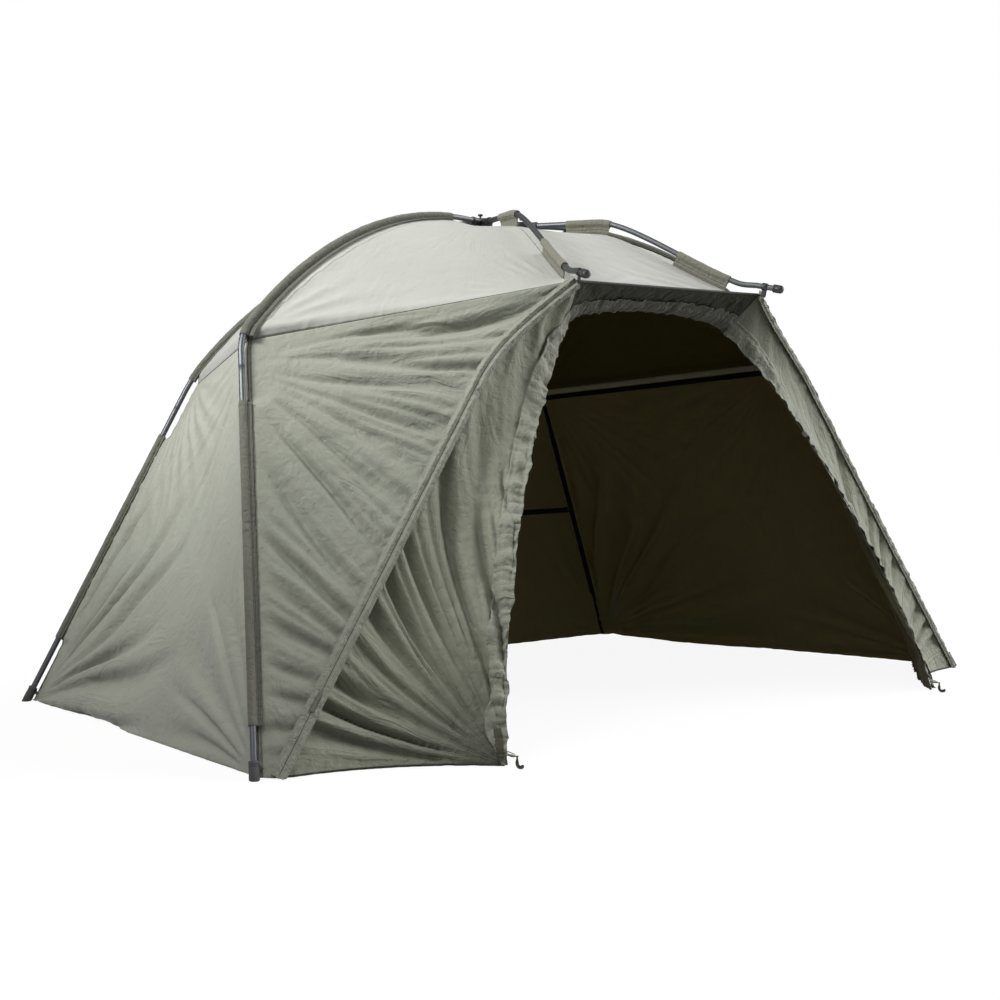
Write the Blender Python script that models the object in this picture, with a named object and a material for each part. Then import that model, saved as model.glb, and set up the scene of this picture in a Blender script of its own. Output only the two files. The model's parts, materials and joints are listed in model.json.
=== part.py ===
"""A bivvy shelter: a roof hub, two folding wings of three poles each, and the cloth that they carry.

Places are told from the middle of the hub: out to a side, ahead towards the door, behind, and up
from the ground. The right side is +X and the door faces -Y. Both sides are made by the same functions.
At the end the whole shelter is slid along Y, so that the frame's origin is the middle of its footprint.
"""

import math

import bmesh
import bpy
import numpy as np
from mathutils import Vector

# Frame of poles
POLE_LEVEL = 1.392
BLOCK_OUT = 0.075
FRONT_ELBOW_OUT = 1.108
FRONT_ELBOW_AHEAD = 0.225
FRONT_ELBOW_LEVEL = 1.020
REAR_ELBOW_OUT = 0.726
REAR_ELBOW_BEHIND = 0.578
REAR_ELBOW_LEVEL = 0.925
FRONT_FOOT_OUT = 1.395
FRONT_FOOT_AHEAD = 0.678
REAR_FOOT_OUT = 1.200
REAR_FOOT_BEHIND = 0.718
FRONT_RIB_RISE = 0.118
REAR_RIB_RISE = 0.105
ELBOW_REACH = 0.048
ELBOW_PULL_SHARE = 0.6
FERRULE_REACH = 0.094
POLE_RADIUS = 0.008
SPIGOT_RADIUS = 0.0055
SPIGOT_LENGTH = 0.085
LEG_BORE_RADIUS = 0.006
LEG_BORE_DEPTH = 0.090

# Peak poles, which carry the brow over the door
PEAK_OUT = 0.373
PEAK_AHEAD = 0.681
PEAK_LEVEL = 1.175
PEAK_REACH = math.hypot(PEAK_OUT - BLOCK_OUT, PEAK_AHEAD)
PEAK_RUN = 0.250
PEAK_BEND_BACK = 0.053
PEAK_BEND_REACH = PEAK_REACH - PEAK_BEND_BACK
PEAK_BEND_RISE = 0.021
PEAK_BEND_LEVEL = PEAK_LEVEL + PEAK_BEND_RISE
PEAK_PULL = 0.200
PEAK_FLARE = 0.045
PEAK_OVERHANG = 0.057
PEAK_TIP_REACH = PEAK_REACH + PEAK_OVERHANG
PEAK_TIP_RISE = 0.005
PEAK_TIP_LEVEL = PEAK_LEVEL + PEAK_TIP_RISE
CAP_RADIUS = 0.012
CAP_LENGTH = 0.030
CAP_STRAIGHT_SHARE = 0.8
CAP_TIP_SHARE = 0.6
CLIP_CLEARANCE = 0.009
CLIP_REACH = PEAK_REACH + CLIP_CLEARANCE
CLIP_LENGTH = 0.016
CLIP_DROP = 0.020

# Hub
PIN_DROP = 0.021
PIN_RADIUS = 0.004
PLATE_RADIUS = 0.010
PLATE_THICKNESS = 0.004
WEB_HALF_LENGTH = 0.040
WEB_HALF_WIDTH = 0.018
BLOCK_RADIUS = 0.026
BLOCK_TOP = 0.012
BLOCK_BOTTOM = 0.033
KNOB_OFFSET = 0.014
KNOB_RADIUS = 0.0075
KNOB_HEIGHT = 0.012
KNOB_STEM_RADIUS = 0.003
KNOB_STEM_LENGTH = 0.006
KNOB_WING_LENGTH = 0.013
KNOB_WING_THICKNESS = 0.004
KNOB_WING_HEIGHT = 0.004

# Feet
FOOT_RADIUS = 0.0125
FOOT_HEIGHT = 0.045
FOOT_SOLE = 0.014

# Sleeves sewn round the poles
SLEEVE_PLAY = 0.0012
SLEEVE_WALL = 0.0014
SLEEVE_HALF_WIDTH = 0.018
RIB_SLEEVE_START = 0.140
FRONT_SLEEVE_TOP_LEVEL = 0.850
FRONT_SLEEVE_END_LEVEL = 0.113
REAR_SLEEVE_TOP_LEVEL = 0.760
REAR_SLEEVE_END_LEVEL = 0.176
INNER_SLEEVE_START = 0.150
INNER_SLEEVE_END = 0.290
OUTER_SLEEVE_BACK = 0.088
OUTER_SLEEVE_END = PEAK_REACH - OUTER_SLEEVE_BACK
OUTER_SLEEVE_LENGTH = 0.155
OUTER_SLEEVE_START = OUTER_SLEEVE_END - OUTER_SLEEVE_LENGTH
FIN_DEPTH = 0.026
SLEEVE_TURNS_DEGREES = (270, 306, 340, 20, 55, 90, 125, 160, 200, 234)
FIN_TURNS_DEGREES = (270, 283, 304, 335, 20, 55, 90, 125, 160, 205, 236, 257)

# Cloth
CLOTH = 0.0016
EDGE_GAP = 0.0008
SEAM_GAP = 0.0020
HEADER_GAP = 0.0020
HEADER_DROP = 0.0024
HEM_LEVEL = 0.004
ROOF_START = 0.035
APEX_HALF_WIDTH = 0.105
APEX_GAP = 0.006
SIDE_WALL_BOW = 0.020
REAR_WALL_BOW = 0.030
FOLD_DEPTH = 0.012
FOLD_MARGIN_SHARE = 0.30
SIDE_WALL_REAR_FOLD_SHARE = 0.6
REAR_WALL_FOLD_SHARE = 0.7
CORNER_FOLDS = 2

# Doorway
DOOR_FOOT_OUT = 0.870
DOOR_FOOT_AHEAD = 0.945
ARCH_LOW_OUT = 0.800
ARCH_LOW_AHEAD = 0.830
ARCH_LOW_LEVEL = 0.400
ARCH_HIGH_OUT = 0.470
ARCH_HIGH_AHEAD = 0.660
ARCH_HIGH_LEVEL = 0.950
SHOULDER_OUT = 0.323
SHOULDER_BACK = 0.091
SHOULDER_AHEAD = PEAK_AHEAD - SHOULDER_BACK
SHOULDER_LEVEL = 1.060
CROWN_BACK = 0.106
CROWN_AHEAD = PEAK_AHEAD - CROWN_BACK
CROWN_LEVEL = 1.113
HEM_DRAW = 0.060

# Zips, from the front feet to the peaks
ZIP_FOOT_INSET = 0.043
ZIP_FOOT_OUT = FRONT_FOOT_OUT - ZIP_FOOT_INSET
ZIP_FOOT_LEAD = 0.028
ZIP_FOOT_AHEAD = FRONT_FOOT_AHEAD + ZIP_FOOT_LEAD
ZIP_BEND_OUT = 0.673
ZIP_BEND_AHEAD = 0.634
ZIP_BEND_LEVEL = 0.908
ZIP_TURN = 0.120
ZIP_TOP_BACK = 0.041
ZIP_TOP_AHEAD = PEAK_AHEAD - ZIP_TOP_BACK
ZIP_TOP_OUT = 0.480
ZIP_TOP_LEVEL = 1.080
TAPE_HALF_WIDTH = 0.012
TAPE_THICKNESS = 0.002
SLIDER_LEVEL = 0.172
SLIDER_LENGTH = 0.024
SLIDER_WIDTH = 0.012
SLIDER_HEIGHT = 0.006
PULL_LENGTH = 0.040
PULL_WIDTH = 0.009
PULL_THICKNESS = 0.002

# Pegging hooks at the door's feet
LOOP_HALF_WIDTH = 0.010
LOOP_LENGTH = 0.030
LOOP_THICKNESS = 0.0020
HOOK_RADIUS = 0.003
HOOK_SHANK = 0.014
HOOK_BEND = 0.008
HOOK_HALF_TURN_SHARE = 0.9
HOOK_CLEARANCE = 0.002

# Fineness
POLE_SIDES = 8
ARC_STEPS = 13
FINE_ARC_STEPS = 52
BEND_STEPS = 4
ROUND_STEPS = 12
WALL_ROWS = 12
SIDE_WALL_COLUMNS = 13
REAR_WALL_COLUMNS = 19
ROOF_COLUMNS = 6
ZIP_STEPS = 14
FRONT_COLUMNS = 9
DOOR_COLUMNS = 9
HEADER_COLUMNS = 13
HEADER_ROWS = 4
SMOOTH_DEGREES = 35
GAP = 0.0004

UP = np.array((0.0, 0.0, 1.0))
ALONG = np.array((0.0, 1.0, 0.0))
ASLANT = UP + ALONG / 2


def unit(vector):
    """Returns the vector, or each row of vectors, at length 1."""
    return vector / np.linalg.norm(vector, axis=-1, keepdims=True)


def place(out, ahead, level):
    """Returns a point of the right side."""
    return np.array((out, -ahead, level))


def bezier(controls, count):
    """Returns count points along the smooth curve that the control points pull on."""
    ways = np.linspace(0, 1, count)[:, None]
    rows = [np.repeat(point[None], count, axis=0) for point in controls]
    while len(rows) > 1:
        rows = [a + (b - a) * ways for a, b in zip(rows, rows[1:])]
    return rows[0]


def bowed(start, end, rise, count, upward):
    """Returns count points of the round arc from start to end that rises from its chord by rise."""
    chord = end - start
    half = np.linalg.norm(chord) / 2
    along = unit(chord)
    outward = unit(upward - along * (upward @ along))
    radius = (half**2 + rise**2) / (2 * rise)
    angle = math.asin(half / radius)
    turns = np.linspace(-angle, angle, count)[:, None]
    middle = (start + end) / 2 - outward * (radius - rise)
    return middle + radius * (np.sin(turns) * along + np.cos(turns) * outward)


def lengths_along(points):
    """Returns how far along the line each point lies."""
    steps = np.linalg.norm(np.diff(points, axis=0), axis=1)
    return np.concatenate([[0.0], np.cumsum(steps)])


def at_lengths(points, wanted):
    """Returns the points that lie the wanted lengths along the line."""
    along = lengths_along(points)
    return np.stack([np.interp(wanted, along, points[:, k]) for k in range(3)], axis=1)


def stretch(points, start, end, count):
    """Returns count points spread over the part of the line between two lengths."""
    return at_lengths(points, np.linspace(start, end, count))


def kept(points, start, end):
    """Returns the line's own points between two lengths, with a point added at each length."""
    along = lengths_along(points)
    inside = along[(along > start) & (along < end)]
    return at_lengths(points, np.concatenate([[start], inside, [end]]))


def spread(points, count):
    """Returns count points spread evenly over the whole line."""
    return stretch(points, 0.0, lengths_along(points)[-1], count)


def line(start, end, count):
    """Returns count points of the straight line between two points."""
    return start + (end - start) * np.linspace(0, 1, count)[:, None]


def frames(points):
    """Returns the line's directions, the outward directions square to it, and the sideways ones.

    Outward is away from the middle of the shelter at half its height, turned square to the line.
    """
    along = unit(np.gradient(points, axis=0))
    outward = points - UP * POLE_LEVEL / 2
    outward = outward - along * np.sum(outward * along, axis=1)[:, None]
    outward = unit(outward)
    return along, outward, np.cross(along, outward)


class Build:
    """Makes the named solids and keeps them, with the material that each one wears."""

    def __init__(self):
        self.made = []
        self.materials = {}

    def material(self, name, colour, roughness, metallic):
        """Makes a plain material."""
        made = bpy.data.materials.new(name)
        made.use_nodes = True
        shader = made.node_tree.nodes["Principled BSDF"]
        shader.inputs["Base Color"].default_value = (*colour, 1.0)
        shader.inputs["Roughness"].default_value = roughness
        shader.inputs["Metallic"].default_value = metallic
        made.diffuse_color = (*colour, 1.0)
        self.materials[name] = made

    def solid(self, name, points, faces, material, origin, smooth=True):
        """Makes one closed object, with its faces turned outwards and its origin where it's told."""
        mesh = bpy.data.meshes.new(name)
        mesh.from_pydata((np.asarray(points) - origin).tolist(), [], faces)
        work = bmesh.new()
        work.from_mesh(mesh)
        bmesh.ops.recalc_face_normals(work, faces=work.faces)
        work.to_mesh(mesh)
        work.free()
        if smooth:
            mesh.shade_smooth()
            mesh.set_sharp_from_angle(angle=math.radians(SMOOTH_DEGREES))
        mesh.materials.append(self.materials[material])
        made = bpy.data.objects.new(name, mesh)
        made.location = Vector(origin)
        bpy.context.scene.collection.objects.link(made)
        self.made.append(made)
        return made

    def cutter(self, name, points, faces):
        """Makes a closed helper that a Boolean uses and a render leaves out."""
        mesh = bpy.data.meshes.new(name)
        mesh.from_pydata(np.asarray(points).tolist(), [], faces)
        work = bmesh.new()
        work.from_mesh(mesh)
        bmesh.ops.recalc_face_normals(work, faces=work.faces)
        work.to_mesh(mesh)
        work.free()
        helper = bpy.data.objects.new(name, mesh)
        helper.hide_render = True
        helper.display_type = "WIRE"
        bpy.context.scene.collection.objects.link(helper)
        return helper

    def combine(self, made, helper, operation):
        """Adds a Boolean with a helper to an object."""
        step = made.modifiers.new(helper.name, "BOOLEAN")
        step.operation = operation
        step.solver = "EXACT"
        step.object = helper

    def centre(self):
        """Slides everything along Y, so that the origin is the middle of the footprint."""
        graph = bpy.context.evaluated_depsgraph_get()
        lows = []
        highs = []
        for made in self.made:
            seen = made.evaluated_get(graph)
            ends = [(seen.matrix_world @ Vector(corner)).y for corner in seen.bound_box]
            lows.append(min(ends))
            highs.append(max(ends))
        slide = (min(lows) + max(highs)) / 2
        for shown in bpy.context.scene.objects:
            shown.location.y -= slide


def loft(rings, ring_closed=False):
    """Joins rings of equally many points into one closed surface.

    With ring_closed the last ring joins the first, and otherwise both ends are capped.
    """
    count = len(rings[0])
    points = np.concatenate(rings)
    steps = len(rings) if ring_closed else len(rings) - 1
    faces = []
    for i in range(steps):
        low = i * count
        high = (i + 1) % len(rings) * count
        for j in range(count):
            k = (j + 1) % count
            faces.append((low + j, low + k, high + k, high + j))
    if not ring_closed:
        last = (len(rings) - 1) * count
        faces.append(tuple(range(count))[::-1])
        faces.append(tuple(range(last, last + count)))
    return points, faces


def circle(radius, sides=POLE_SIDES):
    """Returns the corners of a round outline, sideways and outward."""
    turns = np.arange(sides) * math.tau / sides
    return radius * np.stack([np.cos(turns), np.sin(turns)], axis=1)


def rings_along(points, outlines):
    """Returns one ring for each point of a line, square to it; outlines is one outline or one each."""
    _, outward, aside = frames(points)
    if isinstance(outlines, np.ndarray):
        outlines = [outlines] * len(points)
    return [
        point + outline[:, :1] * side + outline[:, 1:] * out
        for point, side, out, outline in zip(points, aside, outward, outlines)
    ]


def round_rings(start, direction, steps, sides=POLE_SIDES):
    """Returns rings of a turned piece: steps lists how far along each ring lies and its radius."""
    across = unit(np.cross(direction, ASLANT))
    other = np.cross(direction, across)
    turns = np.arange(sides) * math.tau / sides
    flat = np.cos(turns)[:, None] * across + np.sin(turns)[:, None] * other
    return [start + direction * far + radius * flat for far, radius in steps]


def box(centre, axes, halves):
    """Returns the points and faces of a box with the given axes and half sizes."""
    points = []
    for a in (-1, 1):
        for b in (-1, 1):
            for c in (-1, 1):
                corner = zip((a, b, c), axes, halves)
                points.append(centre + sum(sign * axis * half for sign, axis, half in corner))
    faces = [(0, 1, 3, 2), (4, 6, 7, 5), (0, 4, 5, 1), (2, 3, 7, 6), (0, 2, 6, 4), (1, 5, 7, 3)]
    return np.array(points), faces


def sheet(grid, heights=0.0):
    """Returns a closed sheet of cloth over a grid of places, lifted off it by the fold heights.

    Both skins are cut into triangles the same way, so that they keep their distance where they twist.
    """
    down = np.gradient(grid, axis=0)
    across = np.gradient(grid, axis=1)
    normals = unit(np.cross(across, down))
    middle = grid + normals * np.asarray(heights)[..., None]
    down = np.gradient(middle, axis=0)
    across = np.gradient(middle, axis=1)
    normals = unit(np.cross(across, down))
    rows, columns = grid.shape[:2]
    front = (middle + normals * CLOTH / 2).reshape(-1, 3)
    back = (middle - normals * CLOTH / 2).reshape(-1, 3)
    total = rows * columns
    index = np.arange(total).reshape(rows, columns)
    upper = np.stack([index[:-1, :-1], index[:-1, 1:], index[1:, 1:]], axis=-1).reshape(-1, 3)
    lower = np.stack([index[:-1, :-1], index[1:, 1:], index[1:, :-1]], axis=-1).reshape(-1, 3)
    skin = np.concatenate([upper, lower])
    faces = skin.tolist() + (skin[:, ::-1] + total).tolist()
    rim = np.concatenate([index[0, :-1], index[:-1, -1], index[-1, :0:-1], index[:0:-1, 0]])
    for a, b in zip(rim, np.roll(rim, -1)):
        faces.append((int(a), int(b), int(b + total), int(a + total)))
    return np.concatenate([front, back]), faces


def ruled(left, right, count):
    """Returns a grid of rows that run straight from one line to the other."""
    ways = np.linspace(0, 1, count)[None, :, None]
    return left[:, None] * (1 - ways) + right[:, None] * ways


def between(low, high, left, right):
    """Returns a grid whose four sides are the four lines: low and high run from left to right."""
    rows = np.linspace(0, 1, len(left))[:, None, None]
    columns = np.linspace(0, 1, len(low))[None, :, None]
    sides = left[:, None] * (1 - columns) + right[:, None] * columns
    ends = low[None] * (1 - rows) + high[None] * rows
    corners = (low[0] * (1 - columns) + low[-1] * columns) * (1 - rows)
    corners = corners + (high[0] * (1 - columns) + high[-1] * columns) * rows
    return sides + ends - corners


def eased(rows, columns, margin):
    """Returns a weight for each place of a grid: 0 on its four sides and 1 past a margin share."""
    down = np.linspace(0, 1, rows)[:, None]
    across = np.linspace(0, 1, columns)[None]
    near = np.minimum(np.minimum(down, 1 - down), np.minimum(across, 1 - across)) / margin
    near = np.clip(near, 0, 1)
    return near * near * (3 - 2 * near)


def fan(rows, columns, corner_shares, folds):
    """Returns fold heights from -1 to 1 that spread like a fan from a corner, given in shares.

    folds counts the whole waves in the quarter turn between the corner's two edges.
    """
    down = np.linspace(0, 1, rows)[:, None] - corner_shares[0]
    across = np.linspace(0, 1, columns)[None] - corner_shares[1]
    turn = np.arctan2(np.abs(down), np.abs(across))
    return np.cos(turn / (math.pi / 2) * math.tau * folds)


def nudged(points, toward, amount):
    """Returns the line moved by an amount towards another line, square to itself."""
    along = unit(np.gradient(points, axis=0))
    away = toward - points
    away = away - along * np.sum(away * along, axis=1)[:, None]
    return points + unit(away) * amount


class Rib:
    """One roof rib of the right side, its elbow and the leg below it, as lines."""

    def __init__(self, elbow, foot, rise):
        self.block = place(BLOCK_OUT, 0.0, POLE_LEVEL)
        self.foot = foot
        heading = unit((elbow - self.block) * (1, 1, 0))
        start = self.block + heading * (BLOCK_RADIUS + GAP)
        over = bowed(start, elbow, rise, FINE_ARC_STEPS, UP)
        self.down = unit(foot - elbow)
        arc = stretch(over, 0.0, lengths_along(over)[-1] - ELBOW_REACH, ARC_STEPS + 1)
        turn_start = arc[-1]
        turn_end = elbow + self.down * ELBOW_REACH
        pull = ELBOW_REACH * ELBOW_PULL_SHARE
        controls = [turn_start, turn_start + unit(arc[-1] - arc[-2]) * pull]
        controls = controls + [turn_end - self.down * pull, turn_end]
        self.turn = bezier(controls, BEND_STEPS + 1)
        self.arc = arc
        self.ferrule = elbow + self.down * FERRULE_REACH
        self.pole = np.concatenate([arc, self.turn[1:], [self.ferrule]])
        half = BEND_STEPS // 2
        self.over = np.concatenate([arc, self.turn[1 : half + 1]])
        self.under = np.concatenate([self.turn[half:], [self.ferrule, self.at_level(HEM_LEVEL)]])

    def at_level(self, level):
        """Returns the point of the leg at a level."""
        return self.foot + self.down * (level - self.foot[2]) / self.down[2]

    def edge(self, points, side, drop=POLE_RADIUS + SLEEVE_PLAY + SLEEVE_WALL / 2):
        """Returns the line where cloth meets a rib's sleeve, on its front side (+1) or rear side (-1)."""
        _, outward, aside = frames(points)
        reach = SLEEVE_HALF_WIDTH + EDGE_GAP
        return points + aside * side * reach - outward * drop

    def wall_edge(self, side, count):
        """Returns the line where a wall meets the leg, from the elbow down to the hem."""
        edge = self.edge(self.under, side)
        last = unit(edge[-1] - edge[-2])
        edge[-1] = edge[-1] + last * (HEM_LEVEL - edge[-1][2]) / last[2]
        return stretch(edge, SEAM_GAP / 2, lengths_along(edge)[-1], count)


def sleeve_outlines():
    """Returns the outer and the inner outline of a pole sleeve: a tube on a flat band."""
    inner = POLE_RADIUS + SLEEVE_PLAY
    outer = inner + SLEEVE_WALL
    turns = np.radians(SLEEVE_TURNS_DEGREES)
    round_part = np.stack([np.cos(turns), np.sin(turns)], axis=1)
    skin = outer * round_part
    low = -outer
    high = -outer + SLEEVE_WALL
    skin[0] = (0.0, low)
    skin[1] = (SLEEVE_HALF_WIDTH, low)
    skin[2] = (SLEEVE_HALF_WIDTH, high)
    skin[8] = (-SLEEVE_HALF_WIDTH, high)
    skin[9] = (-SLEEVE_HALF_WIDTH, low)
    return skin, inner * round_part


def fin_outlines():
    """Returns the outer and the inner outline of a peak sleeve: a tube on an upright fin."""
    inner = POLE_RADIUS + SLEEVE_PLAY
    outer = inner + SLEEVE_WALL
    turns = np.radians(FIN_TURNS_DEGREES)
    round_part = np.stack([np.cos(turns), np.sin(turns)], axis=1)
    skin = outer * round_part
    foot = -outer - FIN_DEPTH
    skin[0] = (0.0, foot)
    skin[1] = (SLEEVE_WALL, foot)
    skin[2] = (SLEEVE_WALL + SLEEVE_PLAY, -outer)
    skin[-2] = (-SLEEVE_WALL - SLEEVE_PLAY, -outer)
    skin[-1] = (-SLEEVE_WALL, foot)
    return skin, inner * round_part


def sleeve(points, outlines):
    """Returns a sleeve round the pole that runs along the points."""
    outer = rings_along(points, outlines[0])
    inner = rings_along(points, outlines[1])
    return loft(outer + inner[::-1], ring_closed=True)


def peak_line():
    """Returns the middle line of a peak pole and how far out along the ground each point reaches."""
    block = place(BLOCK_OUT, 0.0, POLE_LEVEL)
    heading = unit(place(PEAK_OUT, PEAK_AHEAD, 0.0) - place(BLOCK_OUT, 0.0, 0.0))
    start = np.array((BLOCK_RADIUS + GAP, 0.0))
    run = np.array((PEAK_RUN, 0.0))
    bend = np.array((PEAK_BEND_REACH, PEAK_BEND_LEVEL - POLE_LEVEL))
    tip = np.array((PEAK_TIP_REACH, PEAK_TIP_LEVEL - POLE_LEVEL))
    slope = unit(bend - run)
    flare = np.array((PEAK_FLARE, 0.0))
    last = bend - slope * PEAK_FLARE
    falling = bezier([run, run + flare * 2, bend - slope * PEAK_PULL, last], ARC_STEPS)
    flat = unit(tip - bend - np.array((0.0, (tip - bend)[1] / 2)))
    levelling = bezier([last, bend, bend, bend + flat * PEAK_FLARE], BEND_STEPS + 1)
    profile = np.concatenate([[start], falling, levelling[1:], [tip]])
    points = block + profile[:, :1] * heading + profile[:, 1:] * UP
    return points, profile[:, 0]


def at_reach(points, reaches, wanted):
    """Returns the points of a peak pole that reach out so far."""
    return np.stack([np.interp(wanted, reaches, points[:, k]) for k in range(3)], axis=1)


def arch_line(count):
    """Returns the edge of the doorway, from the foot of the door to the shoulder of the arch."""
    foot = place(DOOR_FOOT_OUT, DOOR_FOOT_AHEAD, HEM_LEVEL)
    low = place(ARCH_LOW_OUT, ARCH_LOW_AHEAD, ARCH_LOW_LEVEL)
    high = place(ARCH_HIGH_OUT, ARCH_HIGH_AHEAD, ARCH_HIGH_LEVEL)
    shoulder = place(SHOULDER_OUT, SHOULDER_AHEAD, SHOULDER_LEVEL)
    return bezier([foot, low, high, shoulder], count)


def zip_line():
    """Returns the line of a zip, from the ground at the front foot to the peak."""
    foot = place(ZIP_FOOT_OUT, ZIP_FOOT_AHEAD, HEM_LEVEL)
    bend = place(ZIP_BEND_OUT, ZIP_BEND_AHEAD, ZIP_BEND_LEVEL)
    near_top = place(ZIP_TOP_OUT, ZIP_TOP_AHEAD, ZIP_TOP_LEVEL)
    peak = peak_corner()
    rise = unit(bend - foot)
    straight = line(foot, bend, ARC_STEPS)
    curve = bezier([bend, bend + rise * ZIP_TURN, near_top, peak], ARC_STEPS)
    return np.concatenate([straight, curve[1:]])


def peak_corner():
    """Returns the corner of the cloth at the peak, just under the pole."""
    return place(PEAK_OUT, PEAK_AHEAD, PEAK_LEVEL - POLE_RADIUS)


def mirrored(points, side):
    """Returns the points on the right side (+1) or on the left side (-1)."""
    return np.asarray(points) * (side, 1, 1)


class Wing:
    """The solids of one side: its hub block, poles, sleeves, feet, cloth, zip and pegging hook."""

    def __init__(self, build, side):
        self.build = build
        self.side = side
        self.name = "right" if side > 0 else "left"
        elbow = place(FRONT_ELBOW_OUT, FRONT_ELBOW_AHEAD, FRONT_ELBOW_LEVEL)
        foot = place(FRONT_FOOT_OUT, FRONT_FOOT_AHEAD, 0.0)
        self.front = Rib(elbow, foot, FRONT_RIB_RISE)
        elbow = place(REAR_ELBOW_OUT, -REAR_ELBOW_BEHIND, REAR_ELBOW_LEVEL)
        foot = place(REAR_FOOT_OUT, -REAR_FOOT_BEHIND, 0.0)
        self.rear = Rib(elbow, foot, REAR_RIB_RISE)
        self.pivot = place(BLOCK_OUT, 0.0, POLE_LEVEL - PIN_DROP)

    def add(self, name, shape, material, origin=None, smooth=True):
        """Adds one solid of this side."""
        points, faces = shape
        origin = self.pivot if origin is None else origin
        return self.build.solid(
            f"{self.name}_{name}", mirrored(points, self.side), faces, material,
            mirrored(origin, self.side), smooth,
        )

    def hub_block(self):
        """Adds the round block that the three poles start from, bored for the hub's pin."""
        axis = place(BLOCK_OUT, 0.0, POLE_LEVEL)
        steps = [(-BLOCK_BOTTOM, BLOCK_RADIUS - GAP), (BLOCK_TOP, BLOCK_RADIUS - GAP)]
        block = self.add("hub_block", loft(round_rings(axis, UP, steps, ROUND_STEPS)), "moulding")
        reach = BLOCK_RADIUS * 2
        bore = [(-reach, PIN_RADIUS + GAP), (reach, PIN_RADIUS + GAP)]
        points, faces = loft(round_rings(self.pivot, ALONG, bore, ROUND_STEPS))
        cutter = self.build.cutter(f"{self.name}_bore", mirrored(points, self.side), faces)
        self.build.combine(block, cutter, "DIFFERENCE")

    def hub_knob(self):
        """Adds the small winged knob that clamps the block."""
        top = place(BLOCK_OUT + KNOB_OFFSET, 0.0, POLE_LEVEL + BLOCK_TOP + GAP)
        stem = KNOB_STEM_LENGTH
        steps = [(0.0, KNOB_STEM_RADIUS), (stem, KNOB_STEM_RADIUS)]
        steps = steps + [(stem, KNOB_RADIUS), (KNOB_HEIGHT, KNOB_RADIUS)]
        knob = self.add("hub_knob", loft(round_rings(top, UP, steps, ROUND_STEPS)), "moulding", top)
        middle = top + UP * (stem + KNOB_HEIGHT) / 2
        axes = (unit(place(1, 1, 0)), unit(place(-1, 1, 0)), UP)
        wing_halves = (KNOB_WING_LENGTH, KNOB_WING_THICKNESS / 2, KNOB_WING_HEIGHT / 2)
        points, faces = box(middle, axes, wing_halves)
        wings = self.build.cutter(f"{self.name}_knob_wings", mirrored(points, self.side), faces)
        self.build.combine(knob, wings, "UNION")

    def rib_pole(self, rib, name):
        """Adds a rib: its arc, its pre-bent elbow, and the spigot that the leg plugs onto."""
        rings = rings_along(rib.pole, circle(POLE_RADIUS))
        spigot = rings_along(
            np.array([rib.ferrule, rib.ferrule + rib.down * SPIGOT_LENGTH]), circle(SPIGOT_RADIUS)
        )
        self.add(name, loft(rings + spigot), "alloy")

    def leg(self, rib, name):
        """Adds a leg: a tube bored at its top for the elbow's spigot."""
        top = rib.ferrule + rib.down * GAP
        bottom = rib.at_level(0.0) - rib.down * FOOT_SOLE
        bore = top + rib.down * LEG_BORE_DEPTH
        points = np.array([bore, top, top, bottom])
        directions = frames(np.array([top, bottom]))
        rings = []
        for point, radius in zip(points, (LEG_BORE_RADIUS, LEG_BORE_RADIUS, POLE_RADIUS, POLE_RADIUS)):
            outline = circle(radius)
            rings.append(point + outline[:, :1] * directions[2][0] + outline[:, 1:] * directions[1][0])
        self.add(name, loft(rings), "alloy", rib.ferrule)

    def foot(self, rib, name):
        """Adds the plug that the leg stands in, cut level where it meets the ground."""
        end = rib.at_level(0.0) - rib.down * (FOOT_SOLE - GAP)
        top = rib.at_level(0.0) - rib.down * FOOT_HEIGHT
        directions = frames(np.array([top, end]))
        skin = circle(FOOT_RADIUS)
        hollow = circle(POLE_RADIUS + GAP)
        ring = top + skin[:, :1] * directions[2][0] + skin[:, 1:] * directions[1][0]
        sole = ring - rib.down * (ring[:, 2:] / rib.down[2])
        mouth = top + hollow[:, :1] * directions[2][0] + hollow[:, 1:] * directions[1][0]
        self.add(name, loft([sole, ring, mouth, mouth + (end - top)]), "rubber", rib.ferrule)

    def rib_sleeve(self, rib, name):
        """Adds the stitched sleeve over the arc of a rib."""
        start = RIB_SLEEVE_START
        end = lengths_along(rib.arc)[-1]
        self.add(name, sleeve(kept(rib.arc, start, end), sleeve_outlines()), "webbing")

    def leg_sleeve(self, rib, name, top_level, end_level):
        """Adds the stitched sleeve over the straight part of a leg."""
        run = line(rib.at_level(top_level), rib.at_level(end_level), 2)
        self.add(name, sleeve(run, sleeve_outlines()), "webbing")

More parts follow.
